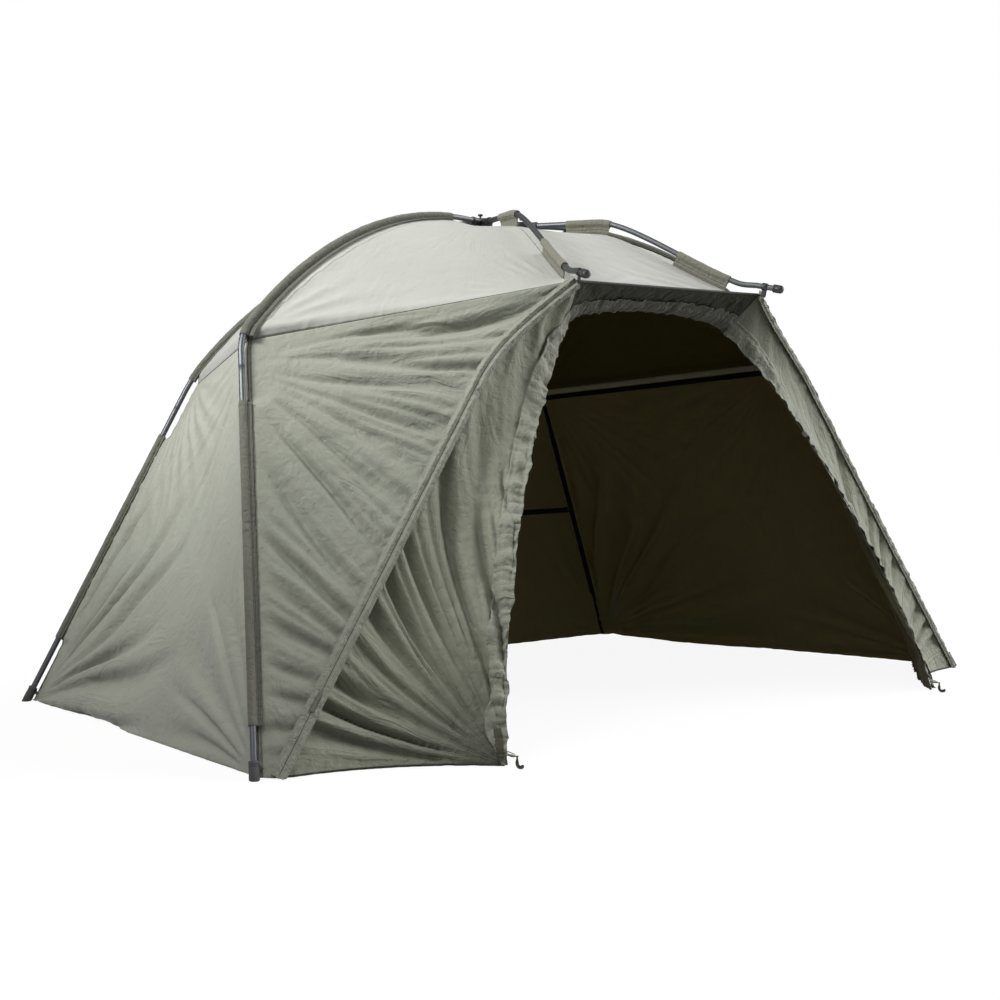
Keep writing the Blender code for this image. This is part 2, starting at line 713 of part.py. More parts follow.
    def peak(self):
        """Adds the peak pole, its cap, its clip and its two short sleeves."""
        points, reaches = peak_line()
        self.add("peak_pole", loft(rings_along(points, circle(POLE_RADIUS))), "alloy")
        way = unit(points[-1] - points[-2])
        bore = POLE_RADIUS + GAP
        inside = CAP_LENGTH / 2
        start = points[-1] - way * inside
        steps = [(inside + GAP, bore), (0.0, bore), (0.0, CAP_RADIUS)]
        steps = steps + [(CAP_LENGTH * CAP_STRAIGHT_SHARE, CAP_RADIUS)]
        steps = steps + [(CAP_LENGTH, CAP_RADIUS * CAP_TIP_SHARE)]
        self.add("peak_cap", loft(round_rings(start, way, steps, ROUND_STEPS)), "moulding")
        for name, start, end in (
            ("peak_inner_sleeve", INNER_SLEEVE_START, INNER_SLEEVE_END),
            ("peak_outer_sleeve", OUTER_SLEEVE_START, OUTER_SLEEVE_END),
        ):
            run = kept(points, *np.interp((start, end), reaches, lengths_along(points)))
            self.add(name, sleeve(run, fin_outlines()), "webbing")
        clip = at_reach(points, reaches, np.array((CLIP_REACH, CLIP_REACH + CLIP_LENGTH)))
        skin, bore = fin_outlines()
        skin = skin.copy()
        skin[[0, 1, -1], 1] = skin[[0, 1, -1], 1] + FIN_DEPTH - CLIP_DROP
        self.add("peak_clip", sleeve(clip, (skin, bore)), "moulding")

    def side_roof(self):
        """Adds the roof cloth between the front and the rear rib."""
        front = self.front.edge(self.front.over, -1)
        rear = self.rear.edge(self.rear.over, 1)
        start = ROOF_START
        front = stretch(front, start, lengths_along(front)[-1] - SEAM_GAP / 2, ARC_STEPS)
        rear = stretch(rear, start, lengths_along(rear)[-1] - SEAM_GAP / 2, ARC_STEPS)
        self.add("side_roof", sheet(ruled(front, rear, ROOF_COLUMNS)), "roof_cloth")

    def side_wall(self):
        """Adds the wall between the legs, with folds that fan from its two lower corners."""
        front = self.front.wall_edge(-1, WALL_ROWS)
        rear = self.rear.wall_edge(1, WALL_ROWS)
        grid = ruled(front, rear, SIDE_WALL_COLUMNS)
        rows, columns = grid.shape[:2]
        weight = eased(rows, columns, FOLD_MARGIN_SHARE)
        folds = fan(rows, columns, (1.0, 1.0), CORNER_FOLDS)
        folds = folds + SIDE_WALL_REAR_FOLD_SHARE * fan(rows, columns, (1.0, 0.0), CORNER_FOLDS)
        lift = FOLD_DEPTH * weight * folds - SIDE_WALL_BOW * weight
        self.add("side_wall", sheet(grid, lift), "wall_cloth")

    def seam(self, count):
        """Returns the seam from the front elbow to the peak."""
        elbow = self.front.edge(self.front.turn, 1)[BEND_STEPS // 2]
        return line(elbow, peak_corner(), count)

    def front_roof(self):
        """Adds the roof cloth between the front rib and the peak pole, down to the seam."""
        rib_edge = self.front.edge(self.front.over, 1)
        rib_edge = stretch(rib_edge, ROOF_START, lengths_along(rib_edge)[-1] - SEAM_GAP / 2, ARC_STEPS)
        under = self.peak_edge(-1)
        seam = self.seam(ROOF_COLUMNS)
        last = nudged(seam, np.repeat(rib_edge[:1], ROOF_COLUMNS, axis=0), SEAM_GAP / 2)
        rib_edge[-1] = last[0]
        under[-1] = last[-1]
        first = line(rib_edge[0], under[0], ROOF_COLUMNS)
        self.add("front_roof", sheet(between(first, last, rib_edge, under)), "roof_cloth")

    def peak_edge(self, side):
        """Returns the line under the peak pole that roof cloth runs to.

        The cloth lies on the pole's inner side (+1) or on its outer side (-1).
        """
        points, reaches = peak_line()
        wanted = np.linspace(ROOF_START + BLOCK_RADIUS, PEAK_REACH, ARC_STEPS)
        _, outward, aside = frames(points)
        drop = POLE_RADIUS + SLEEVE_PLAY + SLEEVE_WALL + FIN_DEPTH - CLOTH
        moved = points - outward * drop + aside * side * (SLEEVE_WALL + EDGE_GAP)
        edge = at_reach(moved, reaches, wanted)
        corner = peak_corner()
        share = np.clip((wanted - OUTER_SLEEVE_END) / (PEAK_REACH - OUTER_SLEEVE_END), 0, 1)
        target = corner + (moved[0] - points[0]) * (1, 1, 0)
        edge = edge + (target - edge[-1]) * (share**2)[:, None]
        return edge

    def front_panel(self):
        """Adds the cloth between the front leg and the zip, with long folds from its lower corner."""
        leg = self.front.wall_edge(1, ZIP_STEPS)
        zip_side = self.zip_edge(1)[::-1]
        seam = self.seam(FRONT_COLUMNS)
        top = nudged(seam, np.repeat(leg[-1:], FRONT_COLUMNS, axis=0), SEAM_GAP / 2)
        leg[0] = top[0]
        zip_side[0] = zip_side[0] + (top[-1] - seam[-1])
        top = line(leg[0], zip_side[0], FRONT_COLUMNS)
        hem = line(leg[-1], zip_side[-1], FRONT_COLUMNS)
        grid = between(top, hem, leg, zip_side)
        rows, columns = grid.shape[:2]
        weight = eased(rows, columns, FOLD_MARGIN_SHARE)
        folds = fan(rows, columns, (1.0, 0.0), CORNER_FOLDS)
        self.add("front_panel", sheet(grid, FOLD_DEPTH * weight * folds), "wall_cloth")

    def door_panel(self):
        """Adds the cloth between the zip and the doorway, drawn in at its hem and fanned from its foot."""
        zip_side = self.zip_edge(-1)
        arch = arch_line(ZIP_STEPS)
        hem = bowed(zip_side[0], arch[0], HEM_DRAW, DOOR_COLUMNS, ALONG)
        top = line(zip_side[-1], arch[-1], DOOR_COLUMNS)
        grid = between(hem, top, zip_side, arch)
        rows, columns = grid.shape[:2]
        weight = eased(rows, columns, FOLD_MARGIN_SHARE)
        folds = fan(rows, columns, (0.0, 1.0), CORNER_FOLDS)
        lift = FOLD_DEPTH * weight * folds
        self.add("door_panel", sheet(grid[::-1], lift[::-1]), "wall_cloth")

    def zip_frame(self):
        """Returns the zip's line, its directions, and the outward and sideways ones square to it."""
        points = spread(zip_line(), ZIP_STEPS)
        along = unit(np.gradient(points, axis=0))
        toward_leg = unit(self.front.wall_edge(1, ZIP_STEPS)[::-1] - points)
        toward_arch = unit(arch_line(ZIP_STEPS) - points)
        aside = np.mean(toward_leg - toward_arch, axis=0)
        aside = unit(aside - along * np.sum(aside * along, axis=1)[:, None])
        return points, along, np.cross(aside, along), aside

    def zip_edge(self, side):
        """Returns the edge of the panel on the leg's side of the zip (+1) or on the doorway's side (-1)."""
        points, _, _, aside = self.zip_frame()
        edge = points + aside * side * (TAPE_HALF_WIDTH + EDGE_GAP)
        edge[0, 2] = HEM_LEVEL
        return edge

    def zip_tape(self):
        """Adds the zip's tape, level with the two panels that it joins."""
        points, _, outward, aside = self.zip_frame()
        half = TAPE_THICKNESS / 2
        outline = np.array((
            (-TAPE_HALF_WIDTH, -half), (TAPE_HALF_WIDTH, -half),
            (TAPE_HALF_WIDTH, half), (-TAPE_HALF_WIDTH, half),
        ))
        rings = [
            point + outline[:, :1] * side + outline[:, 1:] * out
            for point, side, out in zip(points, aside, outward)
        ]
        rings[0][:, 2] = HEM_LEVEL
        self.add("zip_tape", loft(rings[:-1]), "webbing")

    def zip_slider(self):
        """Adds the slider that runs on the straight part of the zip, and the pull that lies on it."""
        points, along, outward, aside = self.zip_frame()
        way, out, across = along[2], outward[2], aside[2]
        seat = points[0] + way * (SLIDER_LEVEL - HEM_LEVEL) / way[2]
        centre = seat + out * (TAPE_THICKNESS / 2 + GAP + SLIDER_HEIGHT / 2)
        halves = (SLIDER_LENGTH / 2, SLIDER_WIDTH / 2, SLIDER_HEIGHT / 2)
        self.add("zip_slider", box(centre, (way, across, out), halves), "dark_metal", centre, False)
        eye = centre + out * (SLIDER_HEIGHT / 2 + GAP + PULL_THICKNESS / 2)
        halves = (PULL_LENGTH / 2, PULL_WIDTH / 2, PULL_THICKNESS / 2)
        pull = box(eye - way * PULL_LENGTH / 2, (way, across, out), halves)
        self.add("zip_pull", pull, "dark_metal", eye, False)

    def pegging(self):
        """Adds the webbing loop at the foot of the door and the hook that hangs from it."""
        arch = arch_line(ZIP_STEPS)
        level = HOOK_SHANK + HOOK_BEND + HOOK_RADIUS + HOOK_CLEARANCE
        seat = np.array([np.interp(level, arch[:, 2], arch[:, k]) for k in range(3)])
        ahead = place(0.0, 1.0, 0.0)
        across = np.cross(ahead, UP)
        length = LOOP_LENGTH / 2
        centre = seat + ahead * (length + CLOTH)
        halves = (length, LOOP_HALF_WIDTH, LOOP_THICKNESS / 2)
        self.add("peg_loop", box(centre, (ahead, across, UP), halves), "webbing", smooth=False)
        eye = centre + ahead * (length + HOOK_RADIUS + GAP)
        turns = np.linspace(0, math.pi * HOOK_HALF_TURN_SHARE, BEND_STEPS + 2)[1:, None]
        base = eye - UP * HOOK_SHANK
        swing = np.cos(turns) * ahead + np.sin(turns) * UP
        curl = base + (ahead - swing) * HOOK_BEND
        path = np.concatenate([[eye, base], curl])
        along = unit(np.gradient(path, axis=0))
        inner = np.cross(along, across)
        outline = circle(HOOK_RADIUS)
        rings = [
            point + outline[:, :1] * across + outline[:, 1:] * out
            for point, out in zip(path, inner)
        ]
        self.add("peg_hook", loft(rings), "moulding", eye)

    def everything(self):
        """Adds every solid of this side."""
        self.hub_block()
        self.hub_knob()
        for rib, place_name in ((self.front, "front"), (self.rear, "rear")):
            self.rib_pole(rib, f"{place_name}_rib")
            self.rib_sleeve(rib, f"{place_name}_rib_sleeve")
            self.leg(rib, f"{place_name}_leg")
            self.foot(rib, f"{place_name}_foot")
        levels = (FRONT_SLEEVE_TOP_LEVEL, FRONT_SLEEVE_END_LEVEL)
        self.leg_sleeve(self.front, "front_leg_sleeve", *levels)
        levels = (REAR_SLEEVE_TOP_LEVEL, REAR_SLEEVE_END_LEVEL)
        self.leg_sleeve(self.rear, "rear_leg_sleeve", *levels)
        self.peak()
        self.side_roof()
        self.side_wall()
        self.front_roof()
        self.front_panel()
        self.door_panel()
        self.zip_tape()
        self.zip_slider()
        self.pegging()


class Middle:
    """The hub and the cloth that crosses from one side to the other."""

    def __init__(self, build, right):
        self.build = build
        self.right = right

    def across(self, edge, count):
        """Returns a grid from the left side's copy of an edge to the right side's own."""
        return ruled(mirrored(edge, -1), edge, count)

    def apex(self, side):
        """Returns the edge of the rear roof (+1) or the brow (-1) below the hub, where the two meet."""
        level = POLE_LEVEL - BLOCK_BOTTOM - APEX_GAP
        clear = BLOCK_RADIUS + PLATE_THICKNESS + APEX_GAP
        meeting = (APEX_HALF_WIDTH, side * EDGE_GAP / 2, level)
        return np.array((meeting, (APEX_HALF_WIDTH, side * clear, level)))

    def hub_bracket(self):
        """Adds the bracket: two plates, the web between them and the two pins that the blocks turn on."""
        level = POLE_LEVEL - PIN_DROP
        centre = np.array((0.0, 0.0, level))
        side_axis = np.array((1.0, 0.0, 0.0))
        halves = (WEB_HALF_LENGTH, WEB_HALF_WIDTH + BLOCK_RADIUS / 2, PLATE_RADIUS)
        bracket = self.build.solid(
            "hub_bracket", *box(centre, (side_axis, ALONG, UP), halves), "moulding", centre, False
        )
        parts = []
        for side in (-1, 1):
            middle = centre + ALONG * side * (BLOCK_RADIUS + GAP + PLATE_THICKNESS / 2)
            plate_halves = (BLOCK_OUT, PLATE_THICKNESS / 2, PLATE_RADIUS)
            parts.append(box(middle, (side_axis, ALONG, UP), plate_halves))
            for out in (-BLOCK_OUT, BLOCK_OUT):
                far = [(-PLATE_THICKNESS / 2, PLATE_RADIUS), (PLATE_THICKNESS / 2, PLATE_RADIUS)]
                parts.append(loft(round_rings(middle + side_axis * out, ALONG, far, ROUND_STEPS)))
        reach = BLOCK_RADIUS + PLATE_THICKNESS
        for out in (-BLOCK_OUT, BLOCK_OUT):
            far = [(-reach, PIN_RADIUS), (reach, PIN_RADIUS)]
            parts.append(loft(round_rings(centre + side_axis * out, ALONG, far, ROUND_STEPS)))
        for number, (points, faces) in enumerate(parts):
            helper = self.build.cutter(f"hub_piece_{number}", points, faces)
            self.build.combine(bracket, helper, "UNION")

    def rear_roof(self):
        """Adds the roof cloth between the two rear ribs."""
        rib = self.right.rear
        edge = rib.edge(rib.over, -1)
        edge = stretch(edge, ROOF_START, lengths_along(edge)[-1] - SEAM_GAP / 2, ARC_STEPS)
        edge = np.concatenate([self.apex(1), edge])
        cloth = sheet(self.across(edge, 2 * ROOF_COLUMNS - 1))
        self.build.solid("rear_roof", *cloth, "roof_cloth", np.zeros(3))

    def rear_wall(self):
        """Adds the wall between the rear legs, with folds that fan from its lower corners."""
        rib = self.right.rear
        grid = self.across(rib.wall_edge(-1, WALL_ROWS), REAR_WALL_COLUMNS)
        rows, columns = grid.shape[:2]
        weight = eased(rows, columns, FOLD_MARGIN_SHARE)
        folds = fan(rows, columns, (1.0, 0.0), CORNER_FOLDS)
        folds = folds + fan(rows, columns, (1.0, 1.0), CORNER_FOLDS)
        lift = FOLD_DEPTH * weight * folds * REAR_WALL_FOLD_SHARE - REAR_WALL_BOW * weight
        self.build.solid("rear_wall", *sheet(grid, lift), "wall_cloth", np.zeros(3))

    def brow_roof(self):
        """Adds the roof cloth between the two peak poles, ahead of the hub."""
        edge = np.concatenate([self.apex(-1), self.right.peak_edge(1)])
        grid = self.across(edge, ROOF_COLUMNS)
        self.build.solid("brow_roof", *sheet(grid), "roof_cloth", np.zeros(3))

    def door_header(self):
        """Adds the cloth over the doorway, from the arch up to the front edge of the brow."""
        shoulder = place(SHOULDER_OUT, SHOULDER_AHEAD, SHOULDER_LEVEL)
        crown = place(0.0, CROWN_AHEAD, CROWN_LEVEL)
        turns = np.linspace(-math.pi / 2, math.pi / 2, HEADER_COLUMNS)[:, None]
        low = crown + (shoulder - crown) * (1, 0, 0) * np.sin(turns)
        low = low + (shoulder - crown) * (0, 1, 1) * (1 - np.cos(turns))
        top = peak_corner() - UP * HEADER_DROP
        high = line(top * (-1, 1, 1), top, HEADER_COLUMNS)
        side = line(low[-1], high[-1], HEADER_ROWS)
        side = nudged(side, np.repeat(crown[None], HEADER_ROWS, axis=0), HEADER_GAP)
        low[0], low[-1] = side[0] * (-1, 1, 1), side[0]
        high[0], high[-1] = side[-1] * (-1, 1, 1), side[-1]
        grid = between(low, high, side * (-1, 1, 1), side)
        self.build.solid("door_header", *sheet(grid), "wall_cloth", np.zeros(3))

    def everything(self):
        """Adds every solid of the middle."""
        self.hub_bracket()
        self.rear_roof()
        self.rear_wall()
        self.brow_roof()
        self.door_header()


def main():
    """Clears the scene and builds the shelter."""
    for old in list(bpy.data.objects):
        bpy.data.objects.remove(old, do_unlink=True)
    build = Build()
    build.material("roof_cloth", (0.50, 0.50, 0.46), 0.55, 0.0)
    build.material("wall_cloth", (0.25, 0.26, 0.22), 0.60, 0.0)
    build.material("webbing", (0.10, 0.10, 0.07), 0.80, 0.0)
    build.material("alloy", (0.35, 0.36, 0.36), 0.35, 1.0)
    build.material("moulding", (0.02, 0.02, 0.02), 0.45, 0.0)
    build.material("rubber", (0.02, 0.02, 0.02), 0.80, 0.0)
    build.material("dark_metal", (0.06, 0.06, 0.06), 0.40, 1.0)
    wings = [Wing(build, side) for side in (-1, 1)]
    for wing in wings:
        wing.everything()
    Middle(build, wings[1]).everything()
    bpy.context.view_layer.update()
    build.centre()


main()
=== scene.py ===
"""A bivvy shelter, dressed: creased cloth, stitched sleeves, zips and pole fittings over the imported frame.

Places are told as in the frame: metres, +Z up, the doorway towards -Y. Both sides of the shelter are made
by the same classes, on the right side first and then mirrored where a left piece is wanted.
"""

import json
import logging
import math
from dataclasses import dataclass, field
from enum import Enum

import bmesh
import bpy
import numpy as np
from bpy.types import ID, Material, Mesh, Node, NodeSocket, NodeTree, Object
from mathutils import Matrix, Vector


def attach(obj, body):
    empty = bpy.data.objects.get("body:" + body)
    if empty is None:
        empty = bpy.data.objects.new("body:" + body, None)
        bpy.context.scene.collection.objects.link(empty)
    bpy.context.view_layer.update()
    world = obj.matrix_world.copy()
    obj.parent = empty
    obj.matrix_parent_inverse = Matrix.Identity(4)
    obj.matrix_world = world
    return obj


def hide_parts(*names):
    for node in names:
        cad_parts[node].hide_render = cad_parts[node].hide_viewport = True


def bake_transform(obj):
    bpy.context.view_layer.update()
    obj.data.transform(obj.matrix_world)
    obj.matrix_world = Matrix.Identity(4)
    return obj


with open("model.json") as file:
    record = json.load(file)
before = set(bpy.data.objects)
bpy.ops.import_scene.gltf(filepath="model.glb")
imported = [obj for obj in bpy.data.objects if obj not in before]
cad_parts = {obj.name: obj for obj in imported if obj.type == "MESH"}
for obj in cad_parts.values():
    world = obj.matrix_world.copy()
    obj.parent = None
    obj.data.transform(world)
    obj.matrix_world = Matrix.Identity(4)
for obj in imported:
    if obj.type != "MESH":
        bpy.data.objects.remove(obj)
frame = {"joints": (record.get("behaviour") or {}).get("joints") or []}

log = logging.getLogger("shelter")

Array = np.ndarray
Colour = tuple[float, float, float]
Place = tuple[float, float, float]
Pair = tuple[float, float]

UP = np.array((0.0, 0.0, 1.0))
ACROSS = np.array((1.0, 0.0, 0.0))
AHEAD = np.array((0.0, -1.0, 0.0))
MIRROR = np.array((-1.0, 1.0, 1.0))
SHARP = math.radians(50)


class Side(Enum):
    """One side of the shelter, with the sign of its x."""

    LEFT = -1
    RIGHT = 1

    @property
    def word(self) -> str:
        """The word that the side's node and body names start with."""
        return self.name.lower()

    @property
    def body(self) -> str:
        """The body that the side's cloth and poles ride on."""
        return f"{self.word}_wing"

    def of(self, points: Array) -> Array:
        """Returns right-side points as this side has them."""
        return points if self is Side.RIGHT else points * MIRROR


# Curves and grids


def unit(vectors: Array) -> Array:
    """Returns each vector at length 1."""
    return vectors / np.maximum(np.linalg.norm(vectors, axis=-1, keepdims=True), 1e-12)


def powered(values: Array, power: float) -> Array:
    """Returns each value's size raised to a power, with its sign kept."""
    return np.sign(values) * np.abs(values) ** power


def eased(values: Array | float) -> Array:
    """Returns the smooth step 3t^2 - 2t^3 of values cut to the range from 0 to 1."""
    cut = np.clip(values, 0.0, 1.0)
    return cut * cut * (3.0 - 2.0 * cut)


def bezier(controls: list[Array], count: int) -> Array:
    """Returns count points of the smooth curve that the control points pull on.

    Each round replaces the points by those between neighbours, a + (b - a) t, until one is left.
    """
    ways = np.linspace(0.0, 1.0, count)[:, None]
    rows = [np.repeat(point[None], count, axis=0) for point in controls]
    while len(rows) > 1:
        rows = [a + (b - a) * ways for a, b in zip(rows, rows[1:])]
    return rows[0]


def bowed(start: Array, end: Array, rise: float, count: int, upward: Array) -> Array:
    """Returns count points of the round arc from start to end that rises from its chord by rise.

    The radius is (half chord^2 + rise^2) / (2 rise), turned evenly between the two ends.
    """
    half = np.linalg.norm(end - start) / 2
    along = unit(end - start)
    outward = unit(upward - along * (upward @ along))
    radius = (half**2 + rise**2) / (2 * rise)
    angle = math.asin(half / radius)
    turns = np.linspace(-angle, angle, count)[:, None]
    middle = (start + end) / 2 - outward * (radius - rise)
    return middle + radius * (np.sin(turns) * along + np.cos(turns) * outward)


def lengths_along(points: Array) -> Array:
    """Returns how far along the line each point lies."""
    steps = np.linalg.norm(np.diff(points, axis=0), axis=1)
    return np.concatenate([[0.0], np.cumsum(steps)])


def read_at(wanted: Array | float, known: Array, points: Array) -> Array:
    """Returns points read straight between those of a line, where known rises to the wanted values."""
    return np.stack([np.interp(wanted, known, points[:, k]) for k in range(3)], axis=-1)


def at_lengths(points: Array, wanted: Array) -> Array:
    """Returns the points that lie the wanted lengths along a line, read straight between its points."""
    return read_at(wanted, lengths_along(points), points)


def stretch(points: Array, start: float, end: float, count: int) -> Array:
    """Returns count points spread evenly over the part of the line between two lengths."""
    return at_lengths(points, np.linspace(start, end, count))


def spread(points: Array, count: int) -> Array:
    """Returns count points spread evenly over the whole line."""
    return stretch(points, 0.0, float(lengths_along(points)[-1]), count)


def line(start: Array, end: Array, count: int) -> Array:
    """Returns count points of the straight line between two points."""
    return start + (end - start) * np.linspace(0.0, 1.0, count)[:, None]


def ruled(left: Array, right: Array, count: int) -> Array:
    """Returns a grid of rows that run straight from one line to the other."""
    ways = np.linspace(0.0, 1.0, count)[None, :, None]
    return left[:, None] * (1 - ways) + right[:, None] * ways


def filled(low: Array, high: Array, left: Array, right: Array) -> Array:
    """Returns the grid that its four sides span: both rulings added, less the flat sheet of the corners."""
    rows = np.linspace(0.0, 1.0, len(left))[:, None, None]
    columns = np.linspace(0.0, 1.0, len(low))[None, :, None]
    sides = left[:, None] * (1 - columns) + right[:, None] * columns
    ends = low[None] * (1 - rows) + high[None] * rows
    corners = (low[0] * (1 - columns) + low[-1] * columns) * (1 - rows)
    corners = corners + (high[0] * (1 - columns) + high[-1] * columns) * rows
    return sides + ends - corners


def frames(points: Array, middle: Array) -> tuple[Array, Array, Array]:
    """Returns a line's directions, the outward ones square to it and the sideways ones.

    Args:
        points: the line.
        middle: the point that outward leads away from.
    """
    along = unit(np.gradient(points, axis=0))
    outward = points - middle
    outward = unit(outward - along * np.sum(outward * along, axis=1)[:, None])
    return along, outward, np.cross(along, outward)


def noise(x: Array, y: Array, seed: int) -> Array:
    """Returns smooth noise from about -1 to 1, with one swell for each unit of x and y.

    Each whole-numbered corner has a slope in a direction that its number gives; the four slopes
    around a place are mixed by the fifth-degree ease 6t^5 - 15t^4 + 10t^3.
    """
    x, y = np.broadcast_arrays(np.asarray(x, float), np.asarray(y, float))
    left = np.floor(x).astype(np.int64)
    low = np.floor(y).astype(np.int64)
    a = x - left
    b = y - low

    def slope(i: int, j: int) -> Array:
        mixed = ((left + i) * 374761393 + (low + j) * 668265263 + seed * 974634777) & 0xFFFFFFFF
        mixed = ((mixed ^ (mixed >> 13)) * 1274126177) & 0xFFFFFFFF
        turn = ((mixed ^ (mixed >> 16)) & 0xFFFF) * (math.tau / 65536)
        return np.cos(turn) * (a - i) + np.sin(turn) * (b - j)

    ease_a = a * a * a * (a * (a * 6 - 15) + 10)
    ease_b = b * b * b * (b * (b * 6 - 15) + 10)
    lower = slope(0, 0) * (1 - ease_a) + slope(1, 0) * ease_a
    upper = slope(0, 1) * (1 - ease_a) + slope(1, 1) * ease_a
    return (lower * (1 - ease_b) + upper * ease_b) * 1.5


def ridged(x: Array, y: Array, seed: int) -> Array:
    """Returns noise folded into sharp ridges: 1 on a ridge, falling to about -1 between them."""
    return 1 - 2 * np.sqrt(noise(x, y, seed) ** 2 + 0.002) * 1.4


# The sizes of the shelter


@dataclass(frozen=True)
class Plan:
    """The shelter's sizes, in metres, and the lines that its pieces follow. All lines are the right side's."""

    middle_y: float
    pole_level: float = 1.392
    block_out: float = 0.075
    block_radius: float = 0.026
    front_elbow: Place = (1.108, 0.225, 1.020)
    rear_elbow: Place = (0.726, -0.578, 0.925)
    front_foot: Place = (1.395, 0.678, 0.0)
    rear_foot: Place = (1.200, -0.718, 0.0)
    front_rise: float = 0.118
    rear_rise: float = 0.105
    elbow_reach: float = 0.048
    ferrule_reach: float = 0.094
    pole_radius: float = 0.008
    sleeve_skin: float = 0.0106
    front_sleeve: Pair = (0.850, 0.113)
    rear_sleeve: Pair = (0.760, 0.176)
    band_reach: float = 0.0125
    band_drop: float = 0.0105
    bare_reach: float = 0.0010
    blend_depth: float = 0.30
    hem_level: float = 0.004
    roof_start: float = 0.035
    apex_half: float = 0.105
    apex_drop: float = 0.039
    fin_depth: float = 0.026
    peak: Place = (0.373, 0.681, 1.175)
    peak_run: float = 0.250
    peak_bend: Pair = (0.690, 1.196)
    peak_pull: float = 0.200
    peak_flare: float = 0.045
    peak_tip: Pair = (0.800, 1.180)
    outer_sleeve_end: float = 0.655
    door_foot: Pair = (0.870, 0.945)
    arch_low: Place = (0.800, 0.830, 0.400)
    arch_high: Place = (0.470, 0.660, 0.950)
    shoulder: Place = (0.323, 0.590, 1.060)
    crown: Place = (0.0, 0.575, 1.113)
    hem_draw: float = 0.060
    zip_foot: Pair = (1.352, 0.706)
    zip_bend: Place = (0.673, 0.634, 0.908)
    zip_turn: float = 0.120
    zip_top: Place = (0.480, 0.640, 1.080)

    def place(self, out: float, ahead: float, level: float) -> Array:
        """Returns a right-side point, told from the hub's middle."""
        return np.array((out, self.middle_y - ahead, level))

    @property
    def middle(self) -> Array:
        """The point inside the shelter that outward leads away from."""
        return self.place(0.0, 0.0, self.pole_level / 2)

    def peak_corner(self) -> Array:
        """Returns the corner of the cloth at the peak, just under the pole."""
        out, ahead, level = self.peak
        return self.place(out, ahead, level - self.pole_radius)

    def peak_line(self) -> tuple[Array, Array]:
        """Returns the middle line of a peak pole and how far out along the ground each point reaches.

        The profile runs level, falls on a smooth curve, and levels out again before the tip.
        """
        block = self.place(self.block_out, 0.0, self.pole_level)
        heading = unit(self.place(self.peak[0], self.peak[1], 0.0) - self.place(self.block_out, 0.0, 0.0))
        start = np.array((self.block_radius, 0.0))
        run = np.array((self.peak_run, 0.0))
        bend = np.array((self.peak_bend[0], self.peak_bend[1] - self.pole_level))
        tip = np.array((self.peak_tip[0], self.peak_tip[1] - self.pole_level))
        slope = unit(bend - run)
        flare = np.array((self.peak_flare, 0.0))
        last = bend - slope * self.peak_flare
        falling = bezier([run, run + flare * 2, bend - slope * self.peak_pull, last], 64)
        flat = unit(tip - bend - np.array((0.0, (tip - bend)[1] / 2)))
        levelling = bezier([last, bend, bend, bend + flat * self.peak_flare], 24)
        profile = np.concatenate([line(start, run, 12)[:-1], falling, levelling[1:], [tip]])
        points = block + profile[:, :1] * heading + profile[:, 1:] * UP
        return points, profile[:, 0]

    def arch_line(self, count: int) -> Array:
        """Returns the doorway's edge, from the foot of the door to the shoulder of the arch."""
        foot = self.place(*self.door_foot, self.hem_level)
        low = self.place(*self.arch_low)
        high = self.place(*self.arch_high)
        return spread(bezier([foot, low, high, self.place(*self.shoulder)], 4 * count), count)

    def zip_line(self, count: int) -> Array:
        """Returns the line of a zip, from the ground at the front foot to the peak."""
        foot = self.place(*self.zip_foot, self.hem_level)
        bend = self.place(*self.zip_bend)
        rise = unit(bend - foot)
        controls = [bend, bend + rise * self.zip_turn, self.place(*self.zip_top), self.peak_corner()]
        points = np.concatenate([line(foot, bend, 40), bezier(controls, 60)[1:]])
        return spread(points, count)


class Limb:
    """One roof rib of the right side, its elbow and the leg below it, as lines.

    sleeve holds the levels at which the leg's sleeve starts and ends.
    """

    def __init__(self, plan: Plan, elbow: tuple, foot: tuple, rise: float, sleeve: Pair) -> None:
        """Works the lines out: a round arc to the elbow, a smooth turn, and the straight leg."""
        self.plan = plan
        self.sleeve = sleeve
        self.block = plan.place(plan.block_out, 0.0, plan.pole_level)
        self.elbow = plan.place(*elbow)
        self.foot = plan.place(*foot)
        heading = unit((self.elbow - self.block) * (1, 1, 0))
        start = self.block + heading * plan.block_radius
        over = bowed(start, self.elbow, rise, 160, UP)
        self.down = unit(self.foot - self.elbow)
        self.arc = stretch(over, 0.0, lengths_along(over)[-1] - plan.elbow_reach, 96)
        turn_end = self.elbow + self.down * plan.elbow_reach
        pull = plan.elbow_reach * 0.6
        controls = [self.arc[-1], self.arc[-1] + unit(self.arc[-1] - self.arc[-2]) * pull]
        self.turn = bezier([*controls, turn_end - self.down * pull, turn_end], 17)
        self.ferrule = self.elbow + self.down * plan.ferrule_reach
        self.over = np.concatenate([self.arc, self.turn[1:9]])
        straight = line(self.turn[-1], self.at_level(plan.hem_level), 60)
        self.under = np.concatenate([self.turn[8:], straight[1:]])

    def at_level(self, level: float) -> Array:
        """Returns the point of the leg at a level."""
        return self.foot + self.down * (level - self.foot[2]) / self.down[2]


# Meshes


def link(name: str, data: ID) -> Object:
    """Returns a new object of the scene that shows a mesh, a camera or a light."""
    made = bpy.data.objects.new(name, data)
    bpy.context.scene.collection.objects.link(made)
    return made


